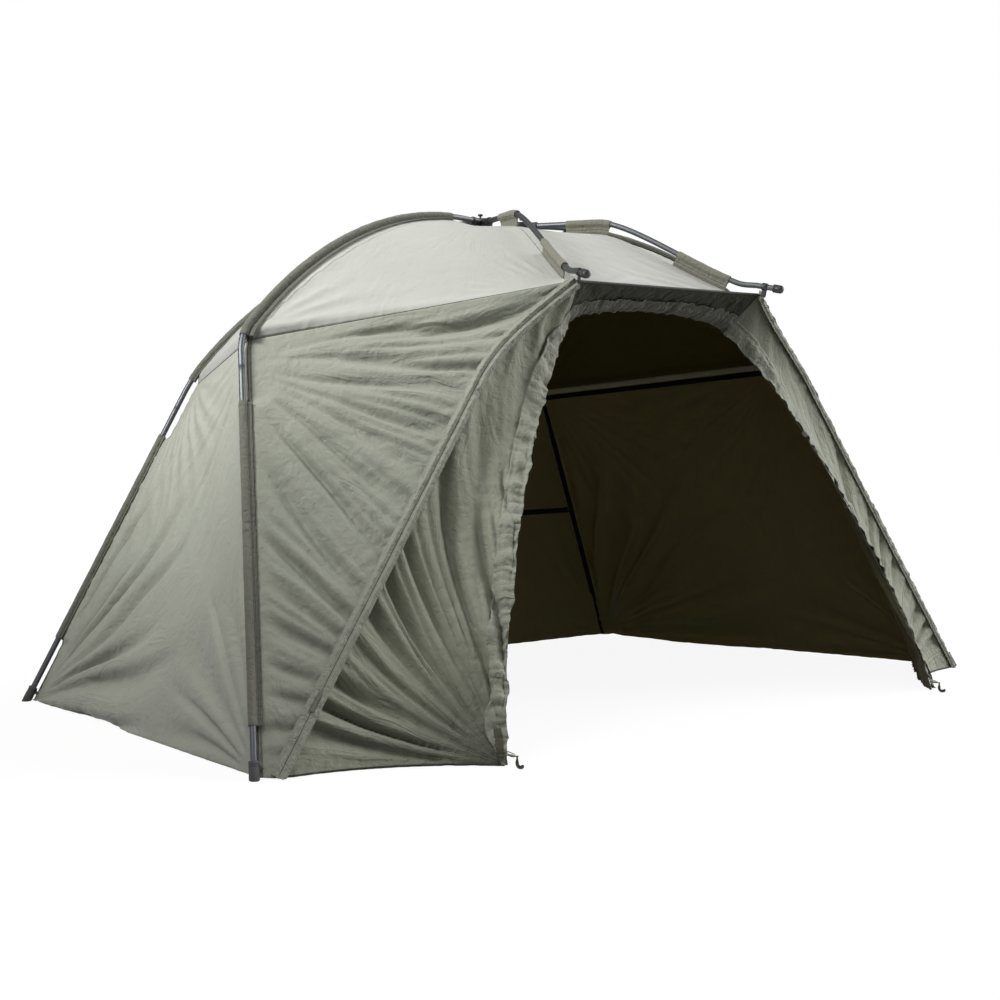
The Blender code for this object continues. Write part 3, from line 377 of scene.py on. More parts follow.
def mesh_of(name: str, points: Array, quads: Array, uvs: Array | None = None) -> Mesh:
    """Returns a smooth mesh of four-sided faces.

    Args:
        name: the mesh's name.
        points: the vertices, one a row.
        quads: four vertex numbers a row; a face that names one vertex twice is a triangle.
        uvs: a place on the cloth for each vertex, in metres.
    """
    mesh = bpy.data.meshes.new(name)
    mesh.vertices.add(len(points))
    mesh.vertices.foreach_set("co", np.ascontiguousarray(points, np.float32).ravel())
    mesh.loops.add(quads.size)
    mesh.loops.foreach_set("vertex_index", np.ascontiguousarray(quads, np.int32).ravel())
    mesh.polygons.add(len(quads))
    mesh.polygons.foreach_set("loop_start", np.arange(0, quads.size, 4, dtype=np.int32))
    mesh.polygons.foreach_set("use_smooth", np.ones(len(quads), bool))
    if uvs is not None:
        corner_values(mesh, "cloth", uvs)
    mesh.update(calc_edges=True)
    mesh.validate()
    return mesh


def corner_values(mesh: Mesh, name: str, values: Array) -> None:
    """Gives a mesh a UV map from one place for each vertex."""
    layer = mesh.uv_layers.new(name=name)
    corners = np.zeros(len(mesh.loops), np.int32)
    mesh.loops.foreach_get("vertex_index", corners)
    layer.data.foreach_set("uv", np.ascontiguousarray(values[corners], np.float32).ravel())


def grid_quads(rows: int, columns: int, row_closed: bool = False, column_closed: bool = False) -> Array:
    """Returns the faces of a grid of points, with either way closed round on itself."""
    index = np.arange(rows * columns).reshape(rows, columns)
    if row_closed:
        index = np.concatenate([index, index[:1]], axis=0)
    if column_closed:
        index = np.concatenate([index, index[:, :1]], axis=1)
    corners = np.stack([index[:-1, :-1], index[:-1, 1:], index[1:, 1:], index[1:, :-1]], axis=-1)
    return corners.reshape(-1, 4)


def outward_normals(grid: Array, middle: Array) -> Array:
    """Returns the grid's normals on the side that faces away from the middle."""
    normals = unit(np.cross(np.gradient(grid, axis=1), np.gradient(grid, axis=0)))
    return normals if np.sum(normals * (grid - middle)) > 0 else -normals


def lifted(grid: Array, middle: Array, lift: Array | float) -> Array:
    """Returns a grid moved off itself along its normals, away from the middle."""
    return grid + outward_normals(grid, middle) * np.asarray(lift)[..., None]


def metres_along(grid: Array) -> Array:
    """Returns each point's place on the cloth, in metres across and down."""
    across = np.linalg.norm(np.diff(grid, axis=1), axis=2)
    down = np.linalg.norm(np.diff(grid, axis=0), axis=2)
    across = np.concatenate([np.zeros((len(grid), 1)), np.cumsum(across, axis=1)], axis=1)
    down = np.concatenate([np.zeros((1, grid.shape[1])), np.cumsum(down, axis=0)], axis=0)
    return np.stack([across, down], axis=-1)


def cloth_mesh(name: str, grid: Array, middle: Array, thickness: float, pull: Array | None = None) -> Mesh:
    """Returns a closed sheet over a grid: slot 0 outside and on the rim, slot 1 inside.

    Both skins lie half the thickness off the grid along its normals, and a rim joins them. The pull, where it
    is given, is kept as a second UV map.
    """
    normals = outward_normals(grid, middle)
    rows, columns = grid.shape[:2]
    outer = (grid + normals * thickness / 2).reshape(-1, 3)
    inner = (grid - normals * thickness / 2).reshape(-1, 3)
    total = rows * columns
    quads = grid_quads(rows, columns)
    index = np.arange(total).reshape(rows, columns)
    rim = np.concatenate([index[0, :-1], index[:-1, -1], index[-1, :0:-1], index[:0:-1, 0]])
    after = np.roll(rim, -1)
    border = np.stack([after, rim, rim + total, after + total], axis=1)
    faces = np.concatenate([quads, quads[:, ::-1] + total, border])
    turned = np.cross(grid[0, 1] - grid[0, 0], grid[1, 0] - grid[0, 0]) @ normals[0, 0] < 0
    if turned:
        faces = faces[:, ::-1]
    uvs = metres_along(grid).reshape(-1, 2)
    mesh = mesh_of(name, np.concatenate([outer, inner]), faces, np.concatenate([uvs, uvs]))
    slots = np.concatenate([np.zeros(len(quads)), np.ones(len(quads)), np.zeros(len(border))])
    mesh.polygons.foreach_set("material_index", slots.astype(np.int32))
    smooth = np.concatenate([np.ones(2 * len(quads), bool), np.zeros(len(border), bool)])
    mesh.polygons.foreach_set("use_smooth", smooth)
    if pull is not None:
        corner_values(mesh, "pull", np.tile(pull.reshape(-1, 2), (2, 1)))
    return mesh


def tube_mesh(name: str, rings: Array) -> Mesh:
    """Returns a closed tube through rings of points, with each end closed to its middle."""
    count, sides = rings.shape[:2]
    quads = grid_quads(count, sides, column_closed=True)
    lengths = lengths_along(rings.mean(axis=1))
    girth = np.linalg.norm(np.diff(rings[count // 2], axis=0), axis=1).sum()
    uvs = np.stack(np.broadcast_arrays(lengths[:, None], np.arange(sides) / sides * girth), axis=-1).reshape(-1, 2)
    ends = np.stack([rings[0].mean(axis=0), rings[-1].mean(axis=0)])
    first = count * sides
    ring = np.arange(sides)
    after = np.roll(ring, -1)
    low = np.stack([after, ring, np.full(sides, first)], axis=1)
    last = (count - 1) * sides
    high = np.stack([ring + last, after + last, np.full(sides, first + 1)], axis=1)
    uvs = np.concatenate([uvs, [[0.0, 0.0], [lengths[-1], 0.0]]])
    return closed_mesh(name, np.concatenate([rings.reshape(-1, 3), ends]), quads, np.concatenate([low, high]), uvs)


def closed_mesh(name: str, points: Array, quads: Array, triangles: Array, uvs: Array) -> Mesh:
    """Returns a mesh of four-sided and three-sided faces whose faces point outwards."""
    mesh = bpy.data.meshes.new(name)
    mesh.from_pydata(points.tolist(), [], quads.tolist() + triangles.tolist())
    work = bmesh.new()
    work.from_mesh(mesh)
    bmesh.ops.recalc_face_normals(work, faces=work.faces)
    work.to_mesh(mesh)
    work.free()
    corner_values(mesh, "cloth", uvs)
    mesh.shade_smooth()
    mesh.set_sharp_from_angle(angle=SHARP)
    return mesh


def rings_along(points: Array, outline: Array, middle: Array) -> Array:
    """Returns one ring for each point of a line, square to it.

    Args:
        points: the line.
        outline: the ring's places, sideways and outward, for all points or for each point.
        middle: the point that outward leads away from.
    """
    _, outward, aside = frames(points, middle)
    shape = np.broadcast_to(outline, (len(points), *outline.shape[-2:]))
    return points[:, None] + shape[..., :1] * aside[:, None] + shape[..., 1:] * outward[:, None]


def circle(radius: float, sides: int) -> Array:
    """Returns the places of a round outline: radius times the cosine and the sine of each turn."""
    turns = np.arange(sides) * math.tau / sides
    return radius * np.stack([np.cos(turns), np.sin(turns)], axis=1)


def turned_rings(start: Array, direction: Array, steps: list[Pair], sides: int) -> Array:
    """Returns the rings of a turned piece; each step is how far along it lies and its radius."""
    across = unit(np.cross(direction, np.array((0.0, 0.5, 1.0))))
    other = np.cross(direction, across)
    turns = np.arange(sides) * math.tau / sides
    flat = np.cos(turns)[:, None] * across + np.sin(turns)[:, None] * other
    sizes = np.array(steps)
    return start + sizes[:, :1, None] * direction + sizes[:, 1:, None] * flat


# Folds in cloth


@dataclass
class Cloth:
    """One panel of cloth while it is being shaped: its grid, and each point's place on it.

    Rows run down the panel and columns across it. flat holds the places on the panel's own plane, in metres.
    """

    name: str
    grid: Array
    middle: Array
    seed: int = 0
    flat: Array = field(init=False)
    across: Array = field(init=False)
    down: Array = field(init=False)
    lift: Array = field(init=False)
    pull: Array | None = None

    def __post_init__(self) -> None:
        """Lays the panel out flat: across and down are the mean ways of its rows and columns."""
        rows, columns = self.grid.shape[:2]
        right = unit(np.mean(self.grid[:, -1] - self.grid[:, 0], axis=0))
        below = np.mean(self.grid[-1] - self.grid[0], axis=0)
        below = unit(below - right * (below @ right))
        spot = self.grid - self.grid[0, 0]
        self.flat = np.stack([spot @ right, spot @ below], axis=-1)
        self.across = np.broadcast_to(np.linspace(0, 1, columns)[None], (rows, columns))
        self.down = np.broadcast_to(np.linspace(0, 1, rows)[:, None], (rows, columns))
        self.lift = np.zeros((rows, columns))

    def spot(self, across: float, down: float) -> Array:
        """Returns the flat place of a point told in shares of the panel, which run on past its edges."""
        rows, columns = self.across.shape
        inside = (min(max(across, 0.0), 1.0), min(max(down, 0.0), 1.0))
        size = np.ptp(self.flat.reshape(-1, 2), axis=0)
        place = self.flat[round(inside[1] * (rows - 1)), round(inside[0] * (columns - 1))]
        return place + size * (across - inside[0], down - inside[1])

    def pulled(self, centre: Pair) -> Array:
        """Returns each point's turn about a centre, from -225 to 135 degrees but in radians, and its distance."""
        gap = self.flat - self.spot(*centre)
        turn = np.arctan2(gap[..., 1], gap[..., 0])
        turn = np.where(turn > math.pi * 0.75, turn - math.tau, turn)
        return np.stack([turn, np.linalg.norm(gap, axis=-1)], axis=-1)

    def reach(self, edge: str) -> tuple[Array, Array]:
        """Returns how far each point is from an edge of the panel, and how far along that edge, in metres."""
        steps = metres_along(self.grid)
        if edge == "right":
            return steps[:, -1:, 0] - steps[..., 0], steps[:, -1:, 1] + 0 * steps[..., 1]
        if edge == "left":
            return steps[..., 0], steps[:, :1, 1] + 0 * steps[..., 1]
        if edge == "top":
            return steps[..., 1], steps[:1, :, 0] + 0 * steps[..., 0]
        return steps[-1:, :, 1] - steps[..., 1], steps[-1:, :, 0] + 0 * steps[..., 0]

    def shaped(self) -> Array:
        """Returns the grid, moved off itself along its normals by the folds."""
        return lifted(self.grid, self.middle, self.lift)

    def flat_size(self) -> Place:
        """Returns the cut's width, length and area in metres, measured with its folds in."""
        grid = self.shaped()
        steps = metres_along(grid)
        a = np.linalg.norm(np.cross(grid[:-1, 1:] - grid[:-1, :-1], grid[1:, :-1] - grid[:-1, :-1]), axis=-1)
        b = np.linalg.norm(np.cross(grid[1:, :-1] - grid[1:, 1:], grid[:-1, 1:] - grid[1:, 1:]), axis=-1)
        area = float(a.sum() + b.sum()) / 2
        return float(steps[:, -1, 0].max()), float(steps[-1, :, 1].max()), area


@dataclass(frozen=True)
class Fan:
    """Folds that spread from one point of a panel like the sticks of a fan.

    centre is told in shares across and down the panel, and the turns in degrees from across towards down.
    The folds swell from near metres out, and die away by far metres out. A depth below zero makes narrow
    valleys between broad swells in place of narrow ridges, and steep is the most depth for each metre
    between two folds.
    """

    centre: Pair
    turns: Pair
    count: float
    depth: float
    near: float
    far: float
    seed: int = 1
    wander: float = 0.3
    sharpness: float = 1.4
    steep: float = 0.22

    def heights(self, cloth: Cloth) -> Array:
        """Returns the folds' heights: a cosine of the turn, warped, sharpened and cut to the fan's reach."""
        gap = cloth.flat - cloth.spot(*self.centre)
        reach = np.linalg.norm(gap, axis=-1)
        turn = np.degrees(np.arctan2(gap[..., 1], gap[..., 0]))
        share = (turn - self.turns[0]) / (self.turns[1] - self.turns[0])
        seed = self.seed + cloth.seed
        phase = share * self.count + self.wander * noise(reach / 0.40, turn / 14.0, seed)
        uneven = 0.65 + 0.6 * noise(np.round(phase) * 3.7 + 0.5, reach / 0.5, seed + 7)
        level = 0.5 if self.depth > 0 else 0.15
        wave = 2 * uneven * (0.5 + 0.5 * np.cos(phase * math.tau)) ** self.sharpness - level
        spacing = reach * math.radians(abs(self.turns[1] - self.turns[0])) / self.count
        depth = math.copysign(1.0, self.depth) * np.minimum(abs(self.depth), self.steep * spacing)
        window = eased(reach / max(self.near, 1e-3)) * (1 - eased((reach / self.far - 0.45) / 0.55))
        window = window * eased((share + 0.12) / 0.12) * eased((1.12 - share) / 0.12)
        cell = float(np.linalg.norm(np.diff(cloth.grid, axis=0), axis=-1).mean())
        window = window * eased((spacing / cell - 2.5) / 2.5)
        return depth * wave * window


@dataclass(frozen=True)
class Pucker:
    """Small gathers where a panel is sewn along an edge, dying away from it."""

    edge: str
    size: float
    depth: float
    reach: float
    seed: int = 11
    span: Pair = (0.0, 1.0)

    def heights(self, cloth: Cloth) -> Array:
        """Returns noise drawn out square to the edge, times the exponential of the distance to it."""
        away, along = cloth.reach(self.edge)
        seed = self.seed + cloth.seed
        bent = along + 0.4 * away * noise(along / 0.2, 0.3, seed + 2)
        swell = noise(bent / self.size, away / (4 * self.size), seed)
        swell = swell + 0.5 * noise(bent / (0.45 * self.size), away / (2 * self.size), seed + 1)
        share = along / np.max(along)
        window = eased((share - self.span[0]) / 0.08 + 1) * eased((self.span[1] - share) / 0.08 + 1)
        return self.depth * swell * window * np.exp(-away / self.reach)


@dataclass(frozen=True)
class Crumple:
    """Packed-away creases all over a panel."""

    size: float
    depth: float
    stretch: Pair = (1.0, 1.0)
    seed: int = 21

    def heights(self, cloth: Cloth) -> Array:
        """Returns ridged noise at three sizes, each about half the one before, warped by a slow noise."""
        seed = self.seed + cloth.seed
        x = cloth.flat[..., 0] / (self.size * self.stretch[0])
        y = cloth.flat[..., 1] / (self.size * self.stretch[1])
        x = x + 0.6 * noise(x / 2, y / 2, seed + 5)
        y = y + 0.6 * noise(x / 2, y / 2, seed + 6)
        broad = ridged(x, y, seed) + 0.5 * ridged(2.1 * x, 2.1 * y, seed + 1)
        return self.depth * (broad + 0.25 * ridged(4.3 * x, 4.3 * y, seed + 2)) / 1.75


def held_at(cloth: Cloth, edges: dict[str, float]) -> Array:
    """Returns a weight that is 0 on the named edges and 1 past the given distance from each."""
    weight = np.ones(cloth.across.shape)
    for edge, reach in edges.items():
        weight = weight * eased(cloth.reach(edge)[0] / reach)
    return weight


# Materials


def node(tree: NodeTree, kind: str, inputs: dict | None = None, **settings) -> Node:
    """Returns a new node of a tree.

    Args:
        tree: the node tree.
        kind: the node's type, after the words ShaderNode.
        inputs: for each input, by name or number, a socket to link to it or a value.
        settings: the node's own properties.
    """
    made = tree.nodes.new(f"ShaderNode{kind}")
    for name, value in settings.items():
        setattr(made, name, value)
    for name, value in (inputs or {}).items():
        if isinstance(value, NodeSocket):
            tree.links.new(value, made.inputs[name])
        else:
            made.inputs[name].default_value = value
    return made


def sum_of(tree: NodeTree, operation: str, *terms) -> NodeSocket:
    """Returns the output of a Math node over the terms."""
    return node(tree, "Math", dict(enumerate(terms)), operation=operation).outputs[0]


def mixed(tree: NodeTree, share, low, high) -> NodeSocket:
    """Returns a colour between two colours."""
    made = node(tree, "Mix", data_type="RGBA")
    for name, value in (("Factor_Float", share), ("A_Color", low), ("B_Color", high)):
        socket = next(s for s in made.inputs if s.identifier == name)
        if isinstance(value, NodeSocket):
            tree.links.new(value, socket)
        else:
            socket.default_value = value
    return next(s for s in made.outputs if s.identifier == "Result_Color")


def ranged(tree: NodeTree, value, low: float, high: float, to_low: float, to_high: float):
    """Returns a value carried from one range to another and cut to it."""
    inputs = {"Value": value, "From Min": low, "From Max": high, "To Min": to_low, "To Max": to_high}
    return node(tree, "MapRange", inputs).outputs[0]


def speckle(tree: NodeTree, vector, scale, detail: float, seed, roughness: float = 0.5) -> Node:
    """Returns a Noise Texture whose pattern changes with the seed."""
    inputs = {"Vector": vector, "Scale": scale, "Detail": detail, "W": seed, "Roughness": roughness}
    return node(tree, "TexNoise", inputs, noise_dimensions="4D")


def warped(tree: NodeTree, vector, by: Node, reach) -> NodeSocket:
    """Returns a vector moved by a noise's colour times the reach."""
    part = node(tree, "VectorMath", {0: by.outputs["Color"], "Scale": reach}, operation="SCALE")
    return node(tree, "VectorMath", {0: vector, 1: part.outputs[0]}, operation="ADD").outputs[0]


def ridges(tree: NodeTree, noises: list[tuple[Node, float]], floor: float) -> NodeSocket:
    """Returns sharp ridges: each noise's distance from 0.5, rounded off by the floor, times minus its share."""
    total = None
    for found, share in noises:
        centred = sum_of(tree, "SUBTRACT", found.outputs[0], 0.5)
        ridge = sum_of(tree, "SQRT", sum_of(tree, "MULTIPLY_ADD", centred, centred, floor))
        ridge = sum_of(tree, "MULTIPLY", ridge, -share)
        total = ridge if total is None else sum_of(tree, "ADD", total, ridge)
    return total


class Groups:
    """The shader node groups that several finishes share, each built once."""

    def __init__(self) -> None:
        """Builds every group."""
        self.crinkle = self._crinkle()
        self.weave = self._weave()
        self.mottle = self._mottle()
        self.stitch = self._stitch()
        self.scuff = self._scuff()
        self.wrinkle = self._wrinkle()

    @staticmethod
    def _start(name: str, numbers: dict[str, float], *outputs: str) -> tuple[NodeTree, dict, Node]:
        """Returns a new group with a vector and numbers as inputs, its input sockets by name and its output node."""
        tree = bpy.data.node_groups.new(name, "ShaderNodeTree")
        tree.interface.new_socket("Vector", in_out="INPUT", socket_type="NodeSocketVector")
        for word, value in numbers.items():
            tree.interface.new_socket(word, in_out="INPUT", socket_type="NodeSocketFloat").default_value = value
        for word in outputs:
            tree.interface.new_socket(word, in_out="OUTPUT", socket_type="NodeSocketFloat")
        source = tree.nodes.new("NodeGroupInput")
        return tree, {s.name: s for s in source.outputs if s.name}, tree.nodes.new("NodeGroupOutput")

    def _crinkle(self) -> NodeTree:
        """Small sharp creases: ridged noise at two sizes, warped by a third."""
        tree, given, end = self._start("crinkle", {"Size": 0.03, "Seed": 0.0}, "Height")
        scale = sum_of(tree, "DIVIDE", 1.0, given["Size"])
        moved = warped(tree, given["Vector"], speckle(tree, given["Vector"], scale, 1.0, given["Seed"]), given["Size"])
        noises = [(speckle(tree, moved, sum_of(tree, "MULTIPLY", scale, times), 1.5, given["Seed"]), share)
                  for share, times in ((1.0, 1.0), (0.45, 2.3))]
        tree.links.new(ridges(tree, noises, 0.0008), end.inputs["Height"])
        return tree

    def _wrinkle(self) -> NodeTree:
        """Long creases that run out from a centre: ridged noise over the turn, drawn out along the reach."""
        tree, given, end = self._start("wrinkle", {"Count": 20.0, "Seed": 0.0, "Start": 0.0}, "Height")
        moved = warped(tree, given["Vector"], speckle(tree, given["Vector"], 5.0, 1.0, 7.0), 0.22)
        parts = node(tree, "SeparateXYZ", {0: moved})
        noises = []
        for times, share, along in ((1.0, 1.0, 5.0), (2.2, 0.45, 11.0), (4.6, 0.20, 22.0)):
            turn = sum_of(tree, "MULTIPLY", sum_of(tree, "MULTIPLY", parts.outputs[0], given["Count"]), times)
            reach = sum_of(tree, "MULTIPLY", parts.outputs[1], along)
            spot = node(tree, "CombineXYZ", {0: turn, 1: reach, 2: times})
            noises.append((speckle(tree, spot.outputs[0], 1.0, 1.0, given["Seed"]), share))
        uneven = ranged(tree, speckle(tree, given["Vector"], 4.0, 1.0, 3.0).outputs[0], 0.35, 0.65, 0.25, 1.0)
        gone = sum_of(tree, "SUBTRACT", parts.outputs[1], given["Start"])
        shown = sum_of(tree, "MULTIPLY", uneven, ranged(tree, gone, 0.0, 0.45, 0.12, 1.0))
        tree.links.new(sum_of(tree, "MULTIPLY", ridges(tree, noises, 0.0020), shown), end.inputs["Height"])
        return tree

    def _weave(self) -> NodeTree:
        """Plain weave: threads over and under, from the sines of both ways on the cloth."""
        tree, given, end = self._start("weave", {"Pitch": 0.0008}, "Height")
        parts = node(tree, "SeparateXYZ", {0: given["Vector"]})
        turn = sum_of(tree, "DIVIDE", math.pi, given["Pitch"])
        warp, weft = (sum_of(tree, "SINE", sum_of(tree, "MULTIPLY", parts.outputs[k], turn)) for k in (0, 1))
        tree.links.new(sum_of(tree, "MULTIPLY", warp, weft), end.inputs["Height"])
        return tree

    def _mottle(self) -> NodeTree:
        """Uneven colour: a cloud of noise as a mask from 0 to 1."""
        tree, given, end = self._start("mottle", {"Size": 0.25, "Seed": 0.0}, "Mask")
        scale = sum_of(tree, "DIVIDE", 1.0, given["Size"])
        broad = speckle(tree, given["Vector"], scale, 4.0, given["Seed"], 0.6)
        tree.links.new(ranged(tree, broad.outputs[0], 0.35, 0.65, 0.0, 1.0), end.inputs["Mask"])
        return tree

    def _stitch(self) -> NodeTree:
        """One row of stitches along the piece: a mask of dashes at a place across it."""
        tree, given, end = self._start("stitch", {"Across": 0.0, "Pitch": 0.004, "Width": 0.0007}, "Mask")
        parts = node(tree, "SeparateXYZ", {0: given["Vector"]})
        away = sum_of(tree, "ABSOLUTE", sum_of(tree, "SUBTRACT", parts.outputs[1], given["Across"]))
        inside = sum_of(tree, "LESS_THAN", away, given["Width"])
        step = sum_of(tree, "FRACT", sum_of(tree, "DIVIDE", parts.outputs[0], given["Pitch"]))
        tree.links.new(sum_of(tree, "MULTIPLY", inside, sum_of(tree, "LESS_THAN", step, 0.72)), end.inputs["Mask"])
        return tree

    def _scuff(self) -> NodeTree:
        """Fine grain and faint scratches on hard pieces."""
        tree, given, end = self._start("scuff", {"Grain": 0.0006, "Seed": 0.0}, "Height", "Mask")
        scale = sum_of(tree, "DIVIDE", 1.0, given["Grain"])
        fine = node(tree, "TexNoise", {"Vector": given["Vector"], "Scale": scale, "Detail": 2.0})
        drawn = node(tree, "Mapping", {"Vector": given["Vector"], "Scale": (40.0, 40.0, 400.0)})
        scratch = speckle(tree, drawn.outputs[0], 1.0, 3.0, given["Seed"])
        tree.links.new(fine.outputs[0], end.inputs["Height"])
        tree.links.new(ranged(tree, scratch.outputs[0], 0.55, 0.75, 0.0, 1.0), end.inputs["Mask"])
        return tree


def placed(tree: NodeTree, group: NodeTree, inputs: dict) -> Node:
    """Returns a group placed in a material."""
    return node(tree, "Group", inputs, node_tree=group)


def started(name: str) -> tuple[Material, NodeTree, Node, Node]:
    """Returns a new material, its tree, its Principled shader and its Texture Coordinate node."""
    made = bpy.data.materials.new(name)
    made.use_nodes = True
    tree = made.node_tree
    return made, tree, tree.nodes["Principled BSDF"], node(tree, "TexCoord")


def bumped(tree: NodeTree, height, distance: float, strength: float = 1.0, under=None):
    """Returns the normal of a Bump node, laid over another one where it is given."""
    inputs = {"Height": height, "Distance": distance, "Strength": strength}
    if under is not None:
        inputs["Normal"] = under
    return node(tree, "Bump", inputs).outputs[0]


@dataclass(frozen=True)
class ClothFinish:
    """Coated woven cloth: two near colours, fine creases, a weave, and a soft sheen.

    wrinkles is the height of the long creases that run out from where the panel is pulled, and they start
    wrinkle_start metres from there; the centre shade is painted shade: how much darker the colour is made
    near that place, for the shadows of gathers too dense for the mesh.
    """

    name: str
    light: Colour
    dark: Colour
    roughness: float
    sheen: float
    crinkle_size: float = 0.030
    crinkle_depth: float = 0.0012
    weave_pitch: float = 0.0007
    weave_depth: float = 0.00003
    stitch_rows: tuple[float, ...] = ()
    thread: Colour = (0.05, 0.05, 0.04)
    shine: float = 0.25
    wrinkles: float = 0.0
    wrinkle_count: float = 18.0
    wrinkle_start: float = -0.5
    centre_shade: float = 0.0

    def material(self, groups: Groups) -> Material:
        """Returns the cloth's material."""
        made, tree, shader, where = started(self.name)
        spot, flat = where.outputs["Object"], where.outputs["UV"]
        cloud = placed(tree, groups.mottle, {"Vector": spot, "Size": 0.22}).outputs["Mask"]
        fine = placed(tree, groups.mottle, {"Vector": spot, "Size": 0.018, "Seed": 3.0}).outputs["Mask"]
        share = sum_of(tree, "MULTIPLY_ADD", fine, 0.3, sum_of(tree, "MULTIPLY", cloud, 0.7))
        colour = mixed(tree, share, (*self.dark, 1.0), (*self.light, 1.0))
        normal = None
        if self.wrinkles:
            pull = node(tree, "UVMap", uv_map="pull").outputs[0]
            inputs = {"Vector": pull, "Count": self.wrinkle_count, "Start": self.wrinkle_start}
            normal = bumped(tree, placed(tree, groups.wrinkle, inputs).outputs["Height"], self.wrinkles)
        # Painted shade: darkens the colour near where the panel is pulled, fading out by 0.34 metres.
        if self.centre_shade:
            reach = node(tree, "SeparateXYZ", {0: pull}).outputs[1]
            shade = ranged(tree, reach, 0.02, 0.34, 1.0 - self.centre_shade, 1.0)
            colour = node(tree, "VectorMath", {0: colour, "Scale": shade}, operation="SCALE").outputs[0]
        crinkle = placed(tree, groups.crinkle, {"Vector": spot, "Size": self.crinkle_size}).outputs["Height"]
        normal = bumped(tree, crinkle, self.crinkle_depth * 10, 1.0, normal)
        weave = placed(tree, groups.weave, {"Vector": flat, "Pitch": self.weave_pitch}).outputs["Height"]
        normal = bumped(tree, weave, self.weave_depth, 0.6, normal)
        for across in self.stitch_rows:
            row = placed(tree, groups.stitch, {"Vector": flat, "Across": across}).outputs["Mask"]
            colour = mixed(tree, row, colour, (*self.thread, 1.0))
            normal = bumped(tree, row, 0.0004, 1.0, normal)
        rough = ranged(tree, share, 0.0, 1.0, self.roughness - 0.05, self.roughness + 0.07)
        for word, socket in (("Base Color", colour), ("Roughness", rough), ("Normal", normal)):
            tree.links.new(socket, shader.inputs[word])
        shader.inputs["Sheen Weight"].default_value = self.sheen
        shader.inputs["Sheen Roughness"].default_value = 0.45
        shader.inputs["Specular IOR Level"].default_value = self.shine
        return made


@dataclass(frozen=True)
class HardFinish:
    """Moulded, drawn or lacquered pieces: a colour, a gloss, a fine grain and faint scratches."""

    name: str
    colour: Colour
    roughness: float
    metallic: float = 0.0
    grain: float = 0.0008
    grain_depth: float = 0.00006
    worn: Colour = (0.2, 0.2, 0.2)
    wear: float = 0.12

    def material(self, groups: Groups) -> Material:
        """Returns the piece's material."""
        made, tree, shader, where = started(self.name)
        spot = where.outputs["Object"]
        scuff = placed(tree, groups.scuff, {"Vector": spot, "Grain": self.grain})
        share = sum_of(tree, "MULTIPLY", scuff.outputs["Mask"], self.wear)
        colour = mixed(tree, share, (*self.colour, 1.0), (*self.worn, 1.0))
        tree.links.new(colour, shader.inputs["Base Color"])
        rough = ranged(tree, scuff.outputs["Mask"], 0.0, 1.0, self.roughness, self.roughness + 0.12)
        tree.links.new(rough, shader.inputs["Roughness"])
        tree.links.new(bumped(tree, scuff.outputs["Height"], self.grain_depth, 0.5), shader.inputs["Normal"])
        shader.inputs["Metallic"].default_value = self.metallic
        return made


